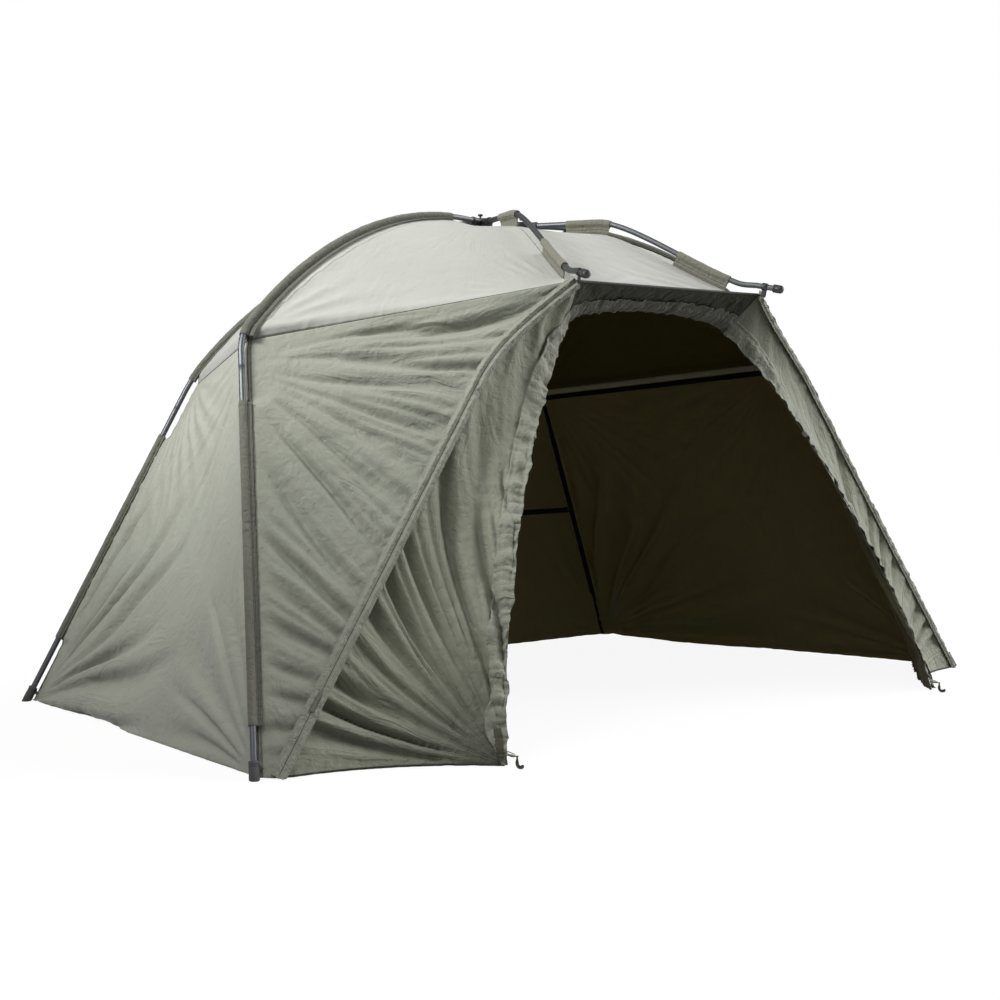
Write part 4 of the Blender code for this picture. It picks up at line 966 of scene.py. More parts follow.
class Finishes:
    """Every material of the shelter, made once."""

    def __init__(self) -> None:
        """Builds the shared groups and the materials."""
        groups = Groups()

        def cloth(name: str, light: Colour, dark: Colour, *rest: float, **named) -> Material:
            """Returns a cloth's material."""
            return ClothFinish(name, light, dark, *rest, **named).material(groups)

        def coating(name: str, light: Colour, dark: Colour) -> Material:
            """Returns the material of a dull coated inner face."""
            return cloth(name, light, dark, 0.75, 0.0, 0.05, 0.0003, shine=0.04)

        def canvas(name: str, light: Colour, dark: Colour, rows: tuple, thread: Colour) -> Material:
            """Returns the material of a coarse sleeve with rows of stitches."""
            return cloth(name, light, dark, 0.72, 0.15, 0.02, 0.0008, 0.0011, 0.00008, rows, thread)

        def hard(*all_values, **named) -> Material:
            """Returns a hard piece's material."""
            return HardFinish(*all_values, **named).material(groups)

        grey, black = (0.05, 0.05, 0.04), (0.02, 0.02, 0.016)
        # Painted light and shade: the roof, wall, front and door cloths are copies of one fabric, each as bright as the
        # light on its panels: lightest and whitest on the roof, then the walls, darker on the front and door panels.
        self.roof = cloth("roof_cloth", (0.39, 0.397, 0.360), (0.365, 0.372, 0.336), 0.55, 0.20, 0.06, 0.0004,
                          shine=0.15, wrinkles=0.006)
        self.wall = cloth("wall_cloth", (0.37, 0.382, 0.322), (0.345, 0.357, 0.30), 0.55, 0.12, 0.030, 0.0005,
                          wrinkles=0.012)
        self.front = cloth("front_cloth", (0.285, 0.296, 0.244), (0.26, 0.271, 0.222), 0.55, 0.12, 0.028, 0.0005,
                           wrinkles=0.016, wrinkle_start=0.30)
        # The door's centre shade is painted shade, darkening its colour towards its foot for the shadows of the gathers
        # there.
        self.door = cloth("door_cloth", (0.272, 0.283, 0.220), (0.24, 0.25, 0.190), 0.60, 0.10, 0.022, 0.0005,
                          wrinkles=0.015, centre_shade=0.55)
        # Painted light and shade on the inner faces: one coating in copies of different brightness. The walls' copy is
        # painted about three times as bright as the others, for the light that comes in by the doorway; the door
        # panels' and the roof's copies are darker.
        self.inside = coating("inner_coating", (0.44, 0.385, 0.185), (0.405, 0.355, 0.168))
        self.door_inside = coating("door_inner_coating", (0.15, 0.137, 0.080), (0.13, 0.118, 0.070))
        # Painted shade: the header's cloth is a much darker copy of the panels' fabric, for the shadow under the brow.
        self.header = cloth("header_cloth", (0.10, 0.104, 0.080), (0.08, 0.084, 0.064), 0.70, 0.0, 0.030, 0.0010,
                            shine=0.1, wrinkles=0.002)
        self.ceiling = coating("inner_roof_coating", (0.165, 0.142, 0.050), (0.152, 0.130, 0.046))
        self.lining = cloth("inner_coating_light", (0.66, 0.62, 0.46), (0.58, 0.54, 0.40), 0.60, 0.0, 0.05, 0.0006)
        self.cord = cloth("cord", (0.60, 0.60, 0.54), (0.48, 0.48, 0.43), 0.8, 0.1, 0.01, 0.0003)
        self.webbing = cloth("webbing", (0.10, 0.10, 0.075), (0.07, 0.07, 0.05), 0.8, 0.1, 0.02, 0.0006, 0.0016, 0.0002)
        self.tape = cloth("seam_tape", (0.009, 0.009, 0.006), (0.006, 0.006, 0.004), 0.8, 0.0, 0.02, 0.0004, shine=0.03)
        self.hem = cloth("hem", (0.085, 0.088, 0.068), (0.06, 0.062, 0.047), 0.7, 0.0, 0.02, 0.0006, shine=0.1)
        self.piping = cloth("piping", (0.035, 0.035, 0.028), (0.025, 0.025, 0.02), 0.6, 0.05, 0.02, 0.0004)
        self.band = cloth("gathered_band", (0.275, 0.286, 0.23), (0.235, 0.245, 0.195), 0.60, 0.1, 0.016, 0.0007)
        # Painted shade: the crown's band is a darker copy of the gathered band's cloth.
        self.crown_band = cloth("crown_band", (0.175, 0.182, 0.145), (0.14, 0.146, 0.115), 0.65, 0.0, 0.016, 0.0006)
        self.casing = canvas("casing_cloth", (0.168, 0.170, 0.140), (0.128, 0.130, 0.104),
                             (0.0215, 0.0262, 0.0655, 0.0702), grey)
        self.rib_casing = canvas("rib_casing_cloth", (0.125, 0.127, 0.104), (0.095, 0.097, 0.076),
                                 (0.0275, 0.0310, 0.0385, 0.0690, 0.0765, 0.0800), black)
        self.fin = canvas("fin_cloth", (0.19, 0.188, 0.150), (0.15, 0.148, 0.115),
                          (0.006, 0.0100, 0.0180, 0.0800, 0.0880, 0.0920), black)
        self.bead = cloth("zip_flap", (0.285, 0.296, 0.243), (0.24, 0.25, 0.20), 0.55, 0.1, 0.012, 0.0008)
        self.alloy = hard("alloy", (0.115, 0.121, 0.126), 0.48, 1.0, 0.0012, 0.00004, (0.25, 0.26, 0.27), 0.25)
        self.moulding = hard("moulding", (0.016, 0.017, 0.017), 0.42)
        self.rubber = hard("rubber", (0.075, 0.078, 0.075), 0.75, 0.0, 0.0015, 0.0001)
        self.slider = hard("zip_metal", (0.13, 0.134, 0.105), 0.5)
        self.teeth = hard("zip_teeth", (0.045, 0.046, 0.038), 0.5)


# Fitting pieces to the frame


class Slot(Enum):
    """The record's material slots."""

    ROOF = "roof_cloth"
    WALL = "wall_cloth"
    WEBBING = "webbing"
    ALLOY = "alloy"
    MOULDING = "moulding"
    RUBBER = "rubber"
    METAL = "dark_metal"


def piece(name: str, mesh: Mesh, slot: Slot, materials: list, body: str | None, *nodes: str):
    """Puts a finished piece into the scene.

    Args:
        name: the piece's name.
        mesh: its mesh.
        slot: the record's slot of its finish; not used.
        materials: the materials of its faces, in order.
        body: the body that it rides on, or None where it rides on none.
        nodes: the CAD nodes that it stands for.

    Returns:
        The piece's object.
    """
    made = link(name, mesh)
    for material in materials:
        mesh.materials.append(material)
    if body is not None:
        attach(made, body)
    if nodes:
        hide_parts(*nodes)
    log.info("%s: %d faces", name, len(mesh.polygons))
    return made


def joined(name: str, meshes: list[Mesh]) -> Mesh:
    """Returns one mesh that holds several."""
    work = bmesh.new()
    for mesh in meshes:
        work.from_mesh(mesh)
    made = bpy.data.meshes.new(name)
    work.to_mesh(made)
    work.free()
    for mesh in meshes:
        bpy.data.meshes.remove(mesh)
    made.shade_smooth()
    made.set_sharp_from_angle(angle=SHARP)
    return made


def pebble(centre: Array, axes: tuple, halves: tuple, power: float = 0.35, fine: int = 28) -> Array:
    """Returns the rings of a rounded block: a sphere's sines and cosines, each raised to a power below 1.

    Args:
        centre: its middle.
        axes: its three directions.
        halves: half its size along each.
        power: how round it is, from 1 for an ellipsoid to 0 for a box.
        fine: how many steps it has round.
    """
    lift = np.linspace(-math.pi / 2, math.pi / 2, fine)[1:-1, None]
    turn = np.arange(2 * fine)[None] * math.pi / fine
    x = powered(np.cos(lift), power) * powered(np.cos(turn), power) * halves[0]
    y = powered(np.cos(lift), power) * powered(np.sin(turn), power) * halves[1]
    z = (powered(np.sin(lift), power) + 0 * turn) * halves[2]
    return centre + x[..., None] * axes[0] + y[..., None] * axes[1] + z[..., None] * axes[2]


def hollow_mesh(name: str, outer: Array, inner: Array) -> Mesh:
    """Returns a closed sleeve: outer rings one way, inner rings back, and a lip at each end."""
    rings = np.concatenate([outer, inner[::-1]])
    quads = grid_quads(*rings.shape[:2], row_closed=True, column_closed=True)
    lengths = lengths_along(outer.mean(axis=1))
    uvs = np.broadcast_arrays(np.concatenate([lengths, lengths[::-1]])[:, None], lengths_along(outer[len(outer) // 2]))
    uvs = np.stack(uvs, axis=-1).reshape(-1, 2)
    return closed_mesh(name, rings.reshape(-1, 3), quads, np.zeros((0, 3), np.int64), uvs)


def sampled(grid: Array, rows: Array, columns: Array) -> Array:
    """Returns a grid read at whole and broken row and column numbers, mixed straight between neighbours."""
    rows = np.clip(rows, 0, grid.shape[0] - 1.000001)
    columns = np.clip(columns, 0, grid.shape[1] - 1.000001)
    i = rows.astype(int)
    j = columns.astype(int)
    a = (rows - i)[..., None]
    b = (columns - j)[..., None]
    low = grid[i, j] * (1 - b) + grid[i, j + 1] * b
    high = grid[i + 1, j] * (1 - b) + grid[i + 1, j + 1] * b
    return low * (1 - a) + high * a


# The cloth's edges


class Seams:
    """The lines where the shelter's cloth ends or changes panel, all on the right side.

    Where a pole is bare, the cloth hangs DROP below its middle, more within NEAR of the hub and less within
    NEAR of the ground. A rib's sleeve ends at SLEEVE_POINT of its line, and the cloth is drawn to a sleeve
    over SLEEVE_EASE.
    """

    SLEEVE_POINT = 100
    SLEEVE_EASE = 0.030
    NEAR = 0.3
    DROP = 0.022
    DROP_AT_HUB = 0.035
    DROP_AT_FOOT = 0.017

    def __init__(self, plan: Plan) -> None:
        """Works out the two limbs and the point under the hub that the roof's lines run to."""
        self.plan = plan
        self.front = Limb(plan, plan.front_elbow, plan.front_foot, plan.front_rise, plan.front_sleeve)
        self.rear = Limb(plan, plan.rear_elbow, plan.rear_foot, plan.rear_rise, plan.rear_sleeve)
        self.limbs = {"front": self.front, "rear": self.rear}
        self.apex = plan.place(plan.apex_half, 0.0, plan.pole_level - plan.apex_drop)

    def beside(self, limb: Limb, side: int) -> tuple[Array, Array]:
        """Returns the cloth's line along a limb, as its part over the roof and its part down the leg.

        In a sleeve the cloth ends beside the pole under the sleeve's band. Where the pole is bare the
        cloth of both sides meets behind it, a thumb's width in.
        """
        plan = self.plan
        points = np.concatenate([limb.over, limb.under[1:]])
        split = len(limb.over)
        _, outward, aside = frames(points, plan.middle)
        along = lengths_along(points)
        sleeve_end = along[self.SLEEVE_POINT]
        top, end = limb.sleeve
        level = points[:, 2]
        ease = self.SLEEVE_EASE
        on_rib = eased((along - 0.120) / 0.035) * (1 - eased((along - sleeve_end + 0.010) / ease))
        on_leg = eased((top + 0.012 - level) / ease) * eased((level - end + 0.014) / ease)
        on_leg = on_leg * (along > sleeve_end + ease)
        tight = np.maximum(on_rib, on_leg)[:, None]
        slack = np.where(along < self.NEAR, self.DROP_AT_HUB, self.DROP)
        on_low_leg = (along > along[split]) & (level < self.NEAR)
        slack = np.where(on_low_leg, self.DROP_AT_FOOT, np.where(along > along[split], self.DROP, slack))[:, None]
        reach = plan.bare_reach + (plan.band_reach - plan.bare_reach) * tight
        drop = slack + (plan.band_drop - slack) * tight
        edge = points + aside * side * reach - outward * drop
        return edge[:split], edge[split - 1 :]

    def roof_edge(self, limb: Limb, side: int, count: int) -> Array:
        """Returns the roof's line along a rib, from the crown under the hub to the elbow."""
        edge = self.beside(limb, side)[0]
        return self.crowned(stretch(edge, self.plan.roof_start, float(lengths_along(edge)[-1]), 160), count)

    def crowned(self, edge: Array, count: int) -> Array:
        """Returns a roof line carried up to the crown under the hub."""
        start = self.apex + (edge[0] - self.apex) * 0.04
        return spread(np.concatenate([line(start, edge[0], 12)[:-1], edge]), count)

    def wall_edge(self, limb: Limb, side: int, count: int) -> Array:
        """Returns a wall's line down a leg, from the elbow to the ground."""
        edge = spread(self.beside(limb, side)[1], count)
        edge[-1, 2] = self.plan.hem_level
        return edge

    def peak_edge(self, side: int, count: int) -> Array:
        """Returns the roof's line under the peak pole, on its inner side (1) or its outer side (-1)."""
        plan = self.plan
        points, reaches = plan.peak_line()
        _, outward, aside = frames(points, plan.middle)
        drop = plan.sleeve_skin + plan.fin_depth - 0.0016
        far = math.hypot(plan.peak[0] - plan.block_out, plan.peak[1])
        wanted = np.linspace(plan.roof_start + plan.block_radius, far, 160)
        moved = points - outward * drop + aside * side * 0.0011
        edge = read_at(wanted, reaches, moved)
        share = np.clip((wanted - plan.outer_sleeve_end) / (far - plan.outer_sleeve_end), 0, 1)
        target = plan.peak_corner() + (moved[0] - points[0]) * (1, 1, 0)
        return self.crowned(edge + (target - edge[-1]) * (share**2)[:, None], count)

    def zip_frame(self, count: int) -> tuple[Array, Array, Array, Array]:
        """Returns the zip's line, its directions, and the outward and sideways ones square to it."""
        points = self.plan.zip_line(count)
        along = unit(np.gradient(points, axis=0))
        toward_leg = unit(self.wall_edge(self.front, 1, count)[::-1] - points)
        toward_arch = unit(self.plan.arch_line(count) - points)
        aside = np.mean(toward_leg - toward_arch, axis=0)
        aside = unit(aside - along * np.sum(aside * along, axis=1)[:, None])
        return points, along, np.cross(aside, along), aside

    def zip_edge(self, side: int, count: int) -> Array:
        """Returns the panel's line on the leg's side of the zip (1) or on the doorway's side (-1)."""
        points, _, _, aside = self.zip_frame(count)
        edge = points + aside * side * 0.0045
        edge[0, 2] = self.plan.hem_level
        return edge

    def front_seam(self, count: int) -> Array:
        """Returns the seam from the front elbow to the peak."""
        return line(self.beside(self.front, 1)[0][-1], self.plan.peak_corner(), count)

    def crown_line(self, count: int) -> Array:
        """Returns the doorway's edge over its top, from the middle to the right shoulder.

        It is a quarter of an ellipse: the sine of the turn outwards, and 1 less its cosine down and forward.
        """
        crown = self.plan.place(*self.plan.crown)
        gap = self.plan.place(*self.plan.shoulder) - crown
        turns = np.linspace(0, math.pi / 2, 4 * count)[:, None]
        points = crown + gap * (1, 0, 0) * np.sin(turns) + gap * (0, 1, 1) * (1 - np.cos(turns))
        return spread(points, count)


def calmed(edge: Array, reach: float) -> Array:
    """Returns an edge with its dents spread out: a bell-weighted mean of what lies within reach, ends kept.

    Past each end the edge is carried on by its own half turn, so that the mean there is the end itself.
    """
    span = round(reach / float(lengths_along(edge)[-1]) * len(edge))
    before = 2 * edge[0] - edge[span:0:-1]
    after = 2 * edge[-1] - edge[-2 : -span - 2 : -1]
    longer = np.concatenate([before, edge, after])
    weights = np.hanning(2 * span + 3)[1:-1]
    return np.stack([np.convolve(longer[:, k], weights / weights.sum(), "valid") for k in range(3)], axis=1)


def dented(grid: Array, left: Array, right: Array, reach: float) -> Array:
    """Returns a grid whose first and last columns are moved, fading away from them over reach metres."""
    across = metres_along(grid)[..., :1]
    near_left = 1 - eased(across / reach)
    near_right = 1 - eased((across[:, -1:] - across) / reach)
    return grid + left[:, None] * near_left + right[:, None] * near_right


# The shelter's parts


@dataclass
class Shelter:
    """What every part needs: the sizes, the cloth's lines and the finishes."""

    plan: Plan
    seams: Seams
    finishes: Finishes


@dataclass
class Trade:
    """One kind of work on the shelter. Shapes are worked out for the right side and mirrored for the left."""

    shelter: Shelter

    def __post_init__(self) -> None:
        """Keeps the sizes, the cloth's lines and the finishes at hand."""
        self.plan = self.shelter.plan
        self.lines = self.shelter.seams
        self.skins = self.shelter.finishes

    def solid(self, side: Side, word: str, parts: list, slot: Slot, material: Material,
              node_name: str = "", body: str = "wing") -> None:
        """Dresses one side with a closed piece.

        Args:
            side: the side.
            word: the piece's name after the side's word.
            parts: the right side's rings of each part, or the outer and inner rings where it is hollow.
            slot: the record's slot of its finish; not used.
            material: its finish.
            node_name: the CAD node that it stands for, after the side's word.
            body: the body that it rides on, after the side's word.
        """
        name = f"{side.word}_{word}"
        meshes = [hollow_mesh(name, *map(side.of, part)) if isinstance(part, tuple) else tube_mesh(name, side.of(part))
                  for part in parts]
        mesh = joined(name, meshes) if len(meshes) > 1 else meshes[0]
        nodes = [f"{side.word}_{node_name}"] if node_name else []
        piece(name, mesh, slot, [material], f"{side.word}_{body}", *nodes)

    def sheet(self, side: Side, word: str, grid: Array, outside: Material, inside: Material,
              blend: Side | None = None, *, slot: Slot = Slot.WALL, thickness: float = 0.0010, sunk: float = 0.0,
              middle: Array | None = None, in_front: bool = False, held: str = "stretched",
              rests_on: tuple = ()) -> None:
        """Dresses one side with a narrow sheet of cloth.

        Args:
            side: the side.
            word: the piece's name after the side's word.
            grid: the sheet's points, on that side.
            outside: the finish of its outer face.
            inside: the finish of its inner face.
            blend: a side where it rides on no wing, or None where it rides on its own wing.
            slot: the record's slot of its finish; not used.
            thickness: how thick it is.
            sunk: how far below the grid it lies.
            middle: the point that it faces away from.
            in_front: whether it lies beside the peak pole and not beside the rear rib; it changes nothing.
            held: how it is held; not used.
            rests_on: the pieces that it lies on; not used.
        """
        name = f"{side.word}_{word}"
        middle = self.plan.middle if middle is None else middle
        mesh = cloth_mesh(name, lifted(grid, middle, -sunk), middle, thickness)
        made = piece(name, mesh, slot, [outside, inside], side.body if blend is None else None)
        if blend is not None:
            self.blended(made, blend, in_front)
        declared(Cloth(name, grid, middle))

    def blended(self, made: Object, side: Side, in_front: bool) -> None:
        """Bakes a piece's place into its mesh; the hub's block and the pole's end are worked out but not used."""
        block = self.plan.place(self.plan.block_out, 0.0, self.plan.pole_level)
        pole_end = self.plan.place(*self.plan.peak) if in_front else self.lines.rear.elbow
        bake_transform(made)


@dataclass
class Panel:
    """The cut and the folds of one panel of cloth."""

    name: str
    grid: Array
    folds: list
    loose: list
    pinned: dict[str, float]
    slot: Slot
    outside: Material
    inside: Material
    held: str = "stretched"
    sag: float = 0.0
    seed: int = 0
    pull: Pair = (0.0, 0.0)
    behind: Array | None = None
    thickness: float = 0.0012

    def shaped(self, plan: Plan) -> Cloth:
        """Returns the panel with its folds in it.

        The sag is the product of the sines of both ways over the panel. The loose folds reach right up to
        the panel's edges, and the rest fade out at the pinned ones.
        """
        cloth = Cloth(self.name, self.grid, plan.middle if self.behind is None else self.behind, self.seed)
        cloth.lift = held_at(cloth, self.pinned) * sum(fold.heights(cloth) for fold in self.folds)
        for fold in self.loose:
            cloth.lift = cloth.lift + fold.heights(cloth) * held_at(cloth, {"top": 0.05})
        cloth.lift = cloth.lift - self.sag * np.sin(cloth.across * math.pi) * np.sin(cloth.down * math.pi)
        grid = cloth.shaped()
        grid[..., 2] = np.maximum(grid[..., 2], plan.hem_level * 0.7)
        cloth.pull = cloth.pulled(self.pull)
        cloth.grid = grid
        cloth.lift = np.zeros(grid.shape[:2])
        return cloth


def declared(cloth: Cloth) -> None:
    """Works out the width, length and area that a piece of cloth was cut to, and does nothing with them."""
    width, length, area = cloth.flat_size()


@dataclass
class Roof(Trade):
    """The roof: the side and front panels of both wings, and the rear and brow panels between them."""

    rows: int = 120
    columns: int = 110
    middle_columns: int = 179

    def side_panel(self, side: Side) -> Panel:
        """Returns the cloth between a front rib and a rear rib, drawn tight with small gathers at its sleeves."""
        lines = self.lines
        front = lines.roof_edge(lines.front, -1, self.rows)
        rear = lines.roof_edge(lines.rear, 1, self.rows)
        folds = [Fan((0.0, 1.0), (-84, -12), 7, 0.0024, 0.12, 0.50, 3),
                 Fan((1.0, 1.0), (-170, -100), 7, 0.0024, 0.12, 0.45, 5),
                 Crumple(0.16, 0.0014, (1.0, 2.2))]
        loose = [Pucker("left", 0.022, 0.0012, 0.030, 7), Pucker("right", 0.022, 0.0012, 0.030, 8),
                 Pucker("bottom", 0.030, 0.0010, 0.040, 9)]
        grid = side.of(ruled(front, rear, self.columns))
        return self.panel(f"{side.word}_side_canopy", grid, folds, loose, 0.012, 11)

    def front_panel(self, side: Side) -> Panel:
        """Returns the cloth between a front rib and a peak pole, down to the seam."""
        lines = self.lines
        rib = lines.roof_edge(lines.front, 1, self.rows)
        peak = lines.peak_edge(-1, self.rows)
        last = lines.front_seam(self.columns)
        rib[-1], peak[-1] = last[0], last[-1]
        grid = side.of(filled(line(rib[0], peak[0], self.columns), last, rib, peak))
        folds = [Fan((0.0, 1.0), (-80, -6), 6, 0.0022, 0.10, 0.45, 13),
                 Fan((1.0, 1.0), (-176, -110), 7, 0.0022, 0.06, 0.40, 15),
                 Crumple(0.16, 0.0014, (2.2, 1.0))]
        loose = [Pucker("left", 0.022, 0.0012, 0.030, 17), Pucker("bottom", 0.026, 0.0012, 0.030, 19)]
        return self.panel(f"{side.word}_front_canopy", grid, folds, loose, 0.008, 12)

    def middle_panel(self, name: str, edge: Array, sag: float) -> Panel:
        """Returns a panel across both sides, between a line of the right side and its mirror image."""
        edge[0, 0] = self.lines.apex[0]
        folds = [Fan((0.0, 1.0), (-84, -8), 7, 0.0035, 0.08, 0.50, 23),
                 Fan((1.0, 1.0), (-172, -96), 7, 0.0035, 0.08, 0.50, 25),
                 Crumple(0.16, 0.0012)]
        return self.panel(name, ruled(edge * MIRROR, edge, self.middle_columns), folds, [], sag, 13)

    def rear_panel(self) -> Panel:
        """Returns the roof behind the hub."""
        return self.middle_panel("rear_canopy", self.lines.roof_edge(self.lines.rear, -1, self.rows), 0.014)

    def brow_panel(self) -> Panel:
        """Returns the roof between the peak poles."""
        return self.middle_panel("brow_canopy", self.lines.peak_edge(1, self.rows), 0.006)

    def panel(self, name: str, grid: Array, folds: list, loose: list, sag: float, seed: int) -> Panel:
        """Returns a panel in the roof's finish."""
        pinned = {"left": 0.05, "right": 0.05, "top": 0.05, "bottom": 0.03}
        return Panel(name, grid, folds, loose, pinned, Slot.ROOF, self.skins.roof, self.skins.ceiling,
                     "stretched", sag, seed)


@dataclass
class Walls(Trade):
    """The walls: side walls, front panels and door panels of both wings, and the rear wall.

    calm_share is how deep the right door panel's folds are against the left one's; calm_reach is over how
    much of a leg the walls' edge is evened out, and dent_reach how far a dent at a bare pole reaches into a wall.
    """

    rows: int = 190
    columns: int = 150
    side_columns: int = 170
    rear_columns: int = 221
    header_columns: int = 241
    door_rows: int = 240
    door_columns: int = 166
    calm_share: float = 0.35
    over_doorway: Place = (0.0, 0.0, 1.7)
    calm_reach: float = 0.30
    dent_reach: float = 0.09

    def hung(self, left: Array, right: Array, columns: int) -> Array:
        """Returns a wall between two edges, whose dents at the bare poles stay beside the poles."""
        calm = [calmed(edge, self.calm_reach) for edge in (left, right)]
        grid = dented(ruled(*calm, columns), left - calm[0], right - calm[1], self.dent_reach)
        grid[-1, :, 2] = self.plan.hem_level
        return grid

    def side_wall(self, side: Side) -> Panel:
        """Returns the wall between the legs, with folds from both lower corners."""
        lines = self.lines
        front = lines.wall_edge(lines.front, -1, self.rows)
        rear = lines.wall_edge(lines.rear, 1, self.rows)
        grid = side.of(self.hung(front, rear, self.side_columns))
        folds = [Fan((1.0, 1.0), (-178, -92), 7, -0.020, 0.08, 0.95, 31, 0.40, 2.2, 0.24),
                 Fan((0.0, 1.0), (-86, -4), 7, -0.014, 0.08, 0.70, 33, 0.40, 2.2, 0.22),
                 Fan((0.0, 0.0), (8, 84), 9, 0.004, 0.12, 0.80, 35),
                 Fan((1.0, 0.0), (98, 172), 9, 0.004, 0.12, 0.80, 37),
                 Crumple(0.13, 0.0022, (1.0, 1.8))]
        loose = [Pucker("left", 0.028, 0.0022, 0.045, 39), Pucker("right", 0.028, 0.0022, 0.045, 41),
                 Pucker("bottom", 0.060, 0.0045, 0.12, 43)]
        pinned = {"left": 0.06, "right": 0.06, "top": 0.06}
        return Panel(f"{side.word}_side_drop", grid, folds, loose, pinned, Slot.WALL, self.skins.wall,
                     self.skins.inside, "stretched", 0.020, 21, (1.0, 1.0))

    def front_panel(self, side: Side) -> Panel:
        """Returns the cloth between the front leg and the zip: smooth at the leg, fanned folds towards the zip."""
        lines = self.lines
        leg = lines.wall_edge(lines.front, 1, self.rows)
        zipped = lines.zip_edge(1, self.rows)[::-1]
        top = lines.front_seam(self.columns)
        leg[0], zipped[0] = top[0], top[-1]
        calm = calmed(leg, self.calm_reach)
        grid = filled(top, line(leg[-1], zipped[-1], self.columns), calm, zipped)
        grid = side.of(dented(grid, leg - calm, 0 * zipped, self.dent_reach))
        folds = [Fan((-0.08, 0.03), (6, 66), 6, -0.0115, 0.40, 2.2, 45, 0.45, 2.6, 0.17),
                 Fan((-0.08, 0.03), (7, 64), 15, -0.0042, 0.50, 2.0, 46, 0.70, 2.0, 0.16),
                 Fan((1.46, 1.09), (-163, -112), 7, -0.0110, 0.40, 1.50, 47, 0.35, 2.6, 0.20),
                 Fan((1.46, 1.09), (-162, -113), 17, -0.0034, 0.45, 1.45, 48, 0.50, 2.0, 0.18),
                 Crumple(0.10, 0.0022, (2.0, 1.0))]
        loose = [Pucker("right", 0.024, 0.0044, 0.050, 49), Pucker("left", 0.026, 0.0016, 0.035, 51),
                 Pucker("top", 0.030, 0.0014, 0.035, 53)]
        pinned = {"left": 0.09, "right": 0.025, "top": 0.05, "bottom": 0.02}
        return Panel(f"{side.word}_front_drop", grid, folds, loose, pinned, Slot.WALL, self.skins.front,
                     self.skins.door_inside, "stretched", 0.0, 22, (-0.08, 0.03))

    def door_panel(self, side: Side) -> Panel:
        """Returns the cloth between the zip and the doorway, gathered at its foot, with long upright wrinkles."""
        zipped = self.lines.zip_edge(-1, self.door_rows)
        arch = self.plan.arch_line(self.door_rows)
        hem = bowed(zipped[0], arch[0], self.plan.hem_draw, 80, np.array((0.0, 1.0, 0.0)))
        top = line(zipped[-1], arch[-1], self.door_columns)
        grid = side.of(filled(spread(hem, self.door_columns), top, zipped, arch)[::-1])
        share = 1.0 if side is Side.LEFT else self.calm_share
        folds = [Fan((1.0, 1.0), (-178, -96), 8, -0.024 * share, 0.03, 1.20, 55, 0.30, 2.7, 0.36),
                 Fan((1.0, 1.0), (-176, -91), 19, -0.0060 * share, 0.10, 1.00, 56, 0.7, 2.4, 0.24),
                 Fan((0.55, -0.4), (66, 114), 11, 0.008 * share, 0.25, 1.30, 57, 0.80, 1.6),
                 Crumple(0.085, 0.0020, (1.0, 2.2))]
        loose = [Pucker("left", 0.022, 0.0036, 0.036, 59), Pucker("right", 0.028, 0.0060 * share, 0.060, 61),
                 Pucker("bottom", 0.055, 0.0060 * share, 0.10, 63)]
        pinned = {"left": 0.026, "right": 0.012, "top": 0.03}
        return Panel(f"{side.word}_door_drop", grid, folds, loose, pinned, Slot.WALL, self.skins.door,
                     self.skins.door_inside, "gathered", 0.0, 23, (1.0, 1.0))

    def rear_wall(self) -> Panel:
        """Returns the rear wall across both sides."""
        edge = self.lines.wall_edge(self.lines.rear, -1, self.rows)
        grid = self.hung(edge * MIRROR, edge, self.rear_columns)
        folds = [Fan((0.0, 1.0), (-86, -4), 8, 0.0035, 0.10, 0.80, 65, 0.35, 1.5),
                 Fan((1.0, 1.0), (-176, -94), 8, 0.0035, 0.10, 0.80, 67, 0.35, 1.5),
                 Crumple(0.18, 0.0012, (1.0, 1.6))]
        loose = [Pucker("bottom", 0.060, 0.0045, 0.12, 69)]
        pinned = {"left": 0.06, "right": 0.06, "top": 0.06}
        return Panel("rear_drop", grid, folds, loose, pinned, Slot.WALL, self.skins.wall, self.skins.inside,
                     "stretched", 0.030, 24)

    def header(self) -> Panel:
        """Returns the cloth over the doorway, gathered along the arch."""
        half = self.lines.crown_line(80)
        low = spread(np.concatenate([half[:0:-1] * MIRROR, half]), self.header_columns)
        corner = self.plan.peak_corner() - UP * 0.0024
        high = line(corner * MIRROR, corner, self.header_columns)
        end = line(high[-1], low[-1], 60)
        grid = filled(high, low, end * MIRROR, end)
        folds = [Crumple(0.05, 0.0030, (1.0, 2.0))]
        loose = [Pucker("bottom", 0.020, 0.0050, 0.060, 71)]
        pinned = {"left": 0.02, "right": 0.02, "top": 0.02, "bottom": 0.004}
        return Panel("door_valance", grid, folds, loose, pinned, Slot.WALL, self.skins.header, self.skins.inside,
                     "gathered", 0.0, 25, (0.5, -4.0), self.plan.place(*self.over_doorway))


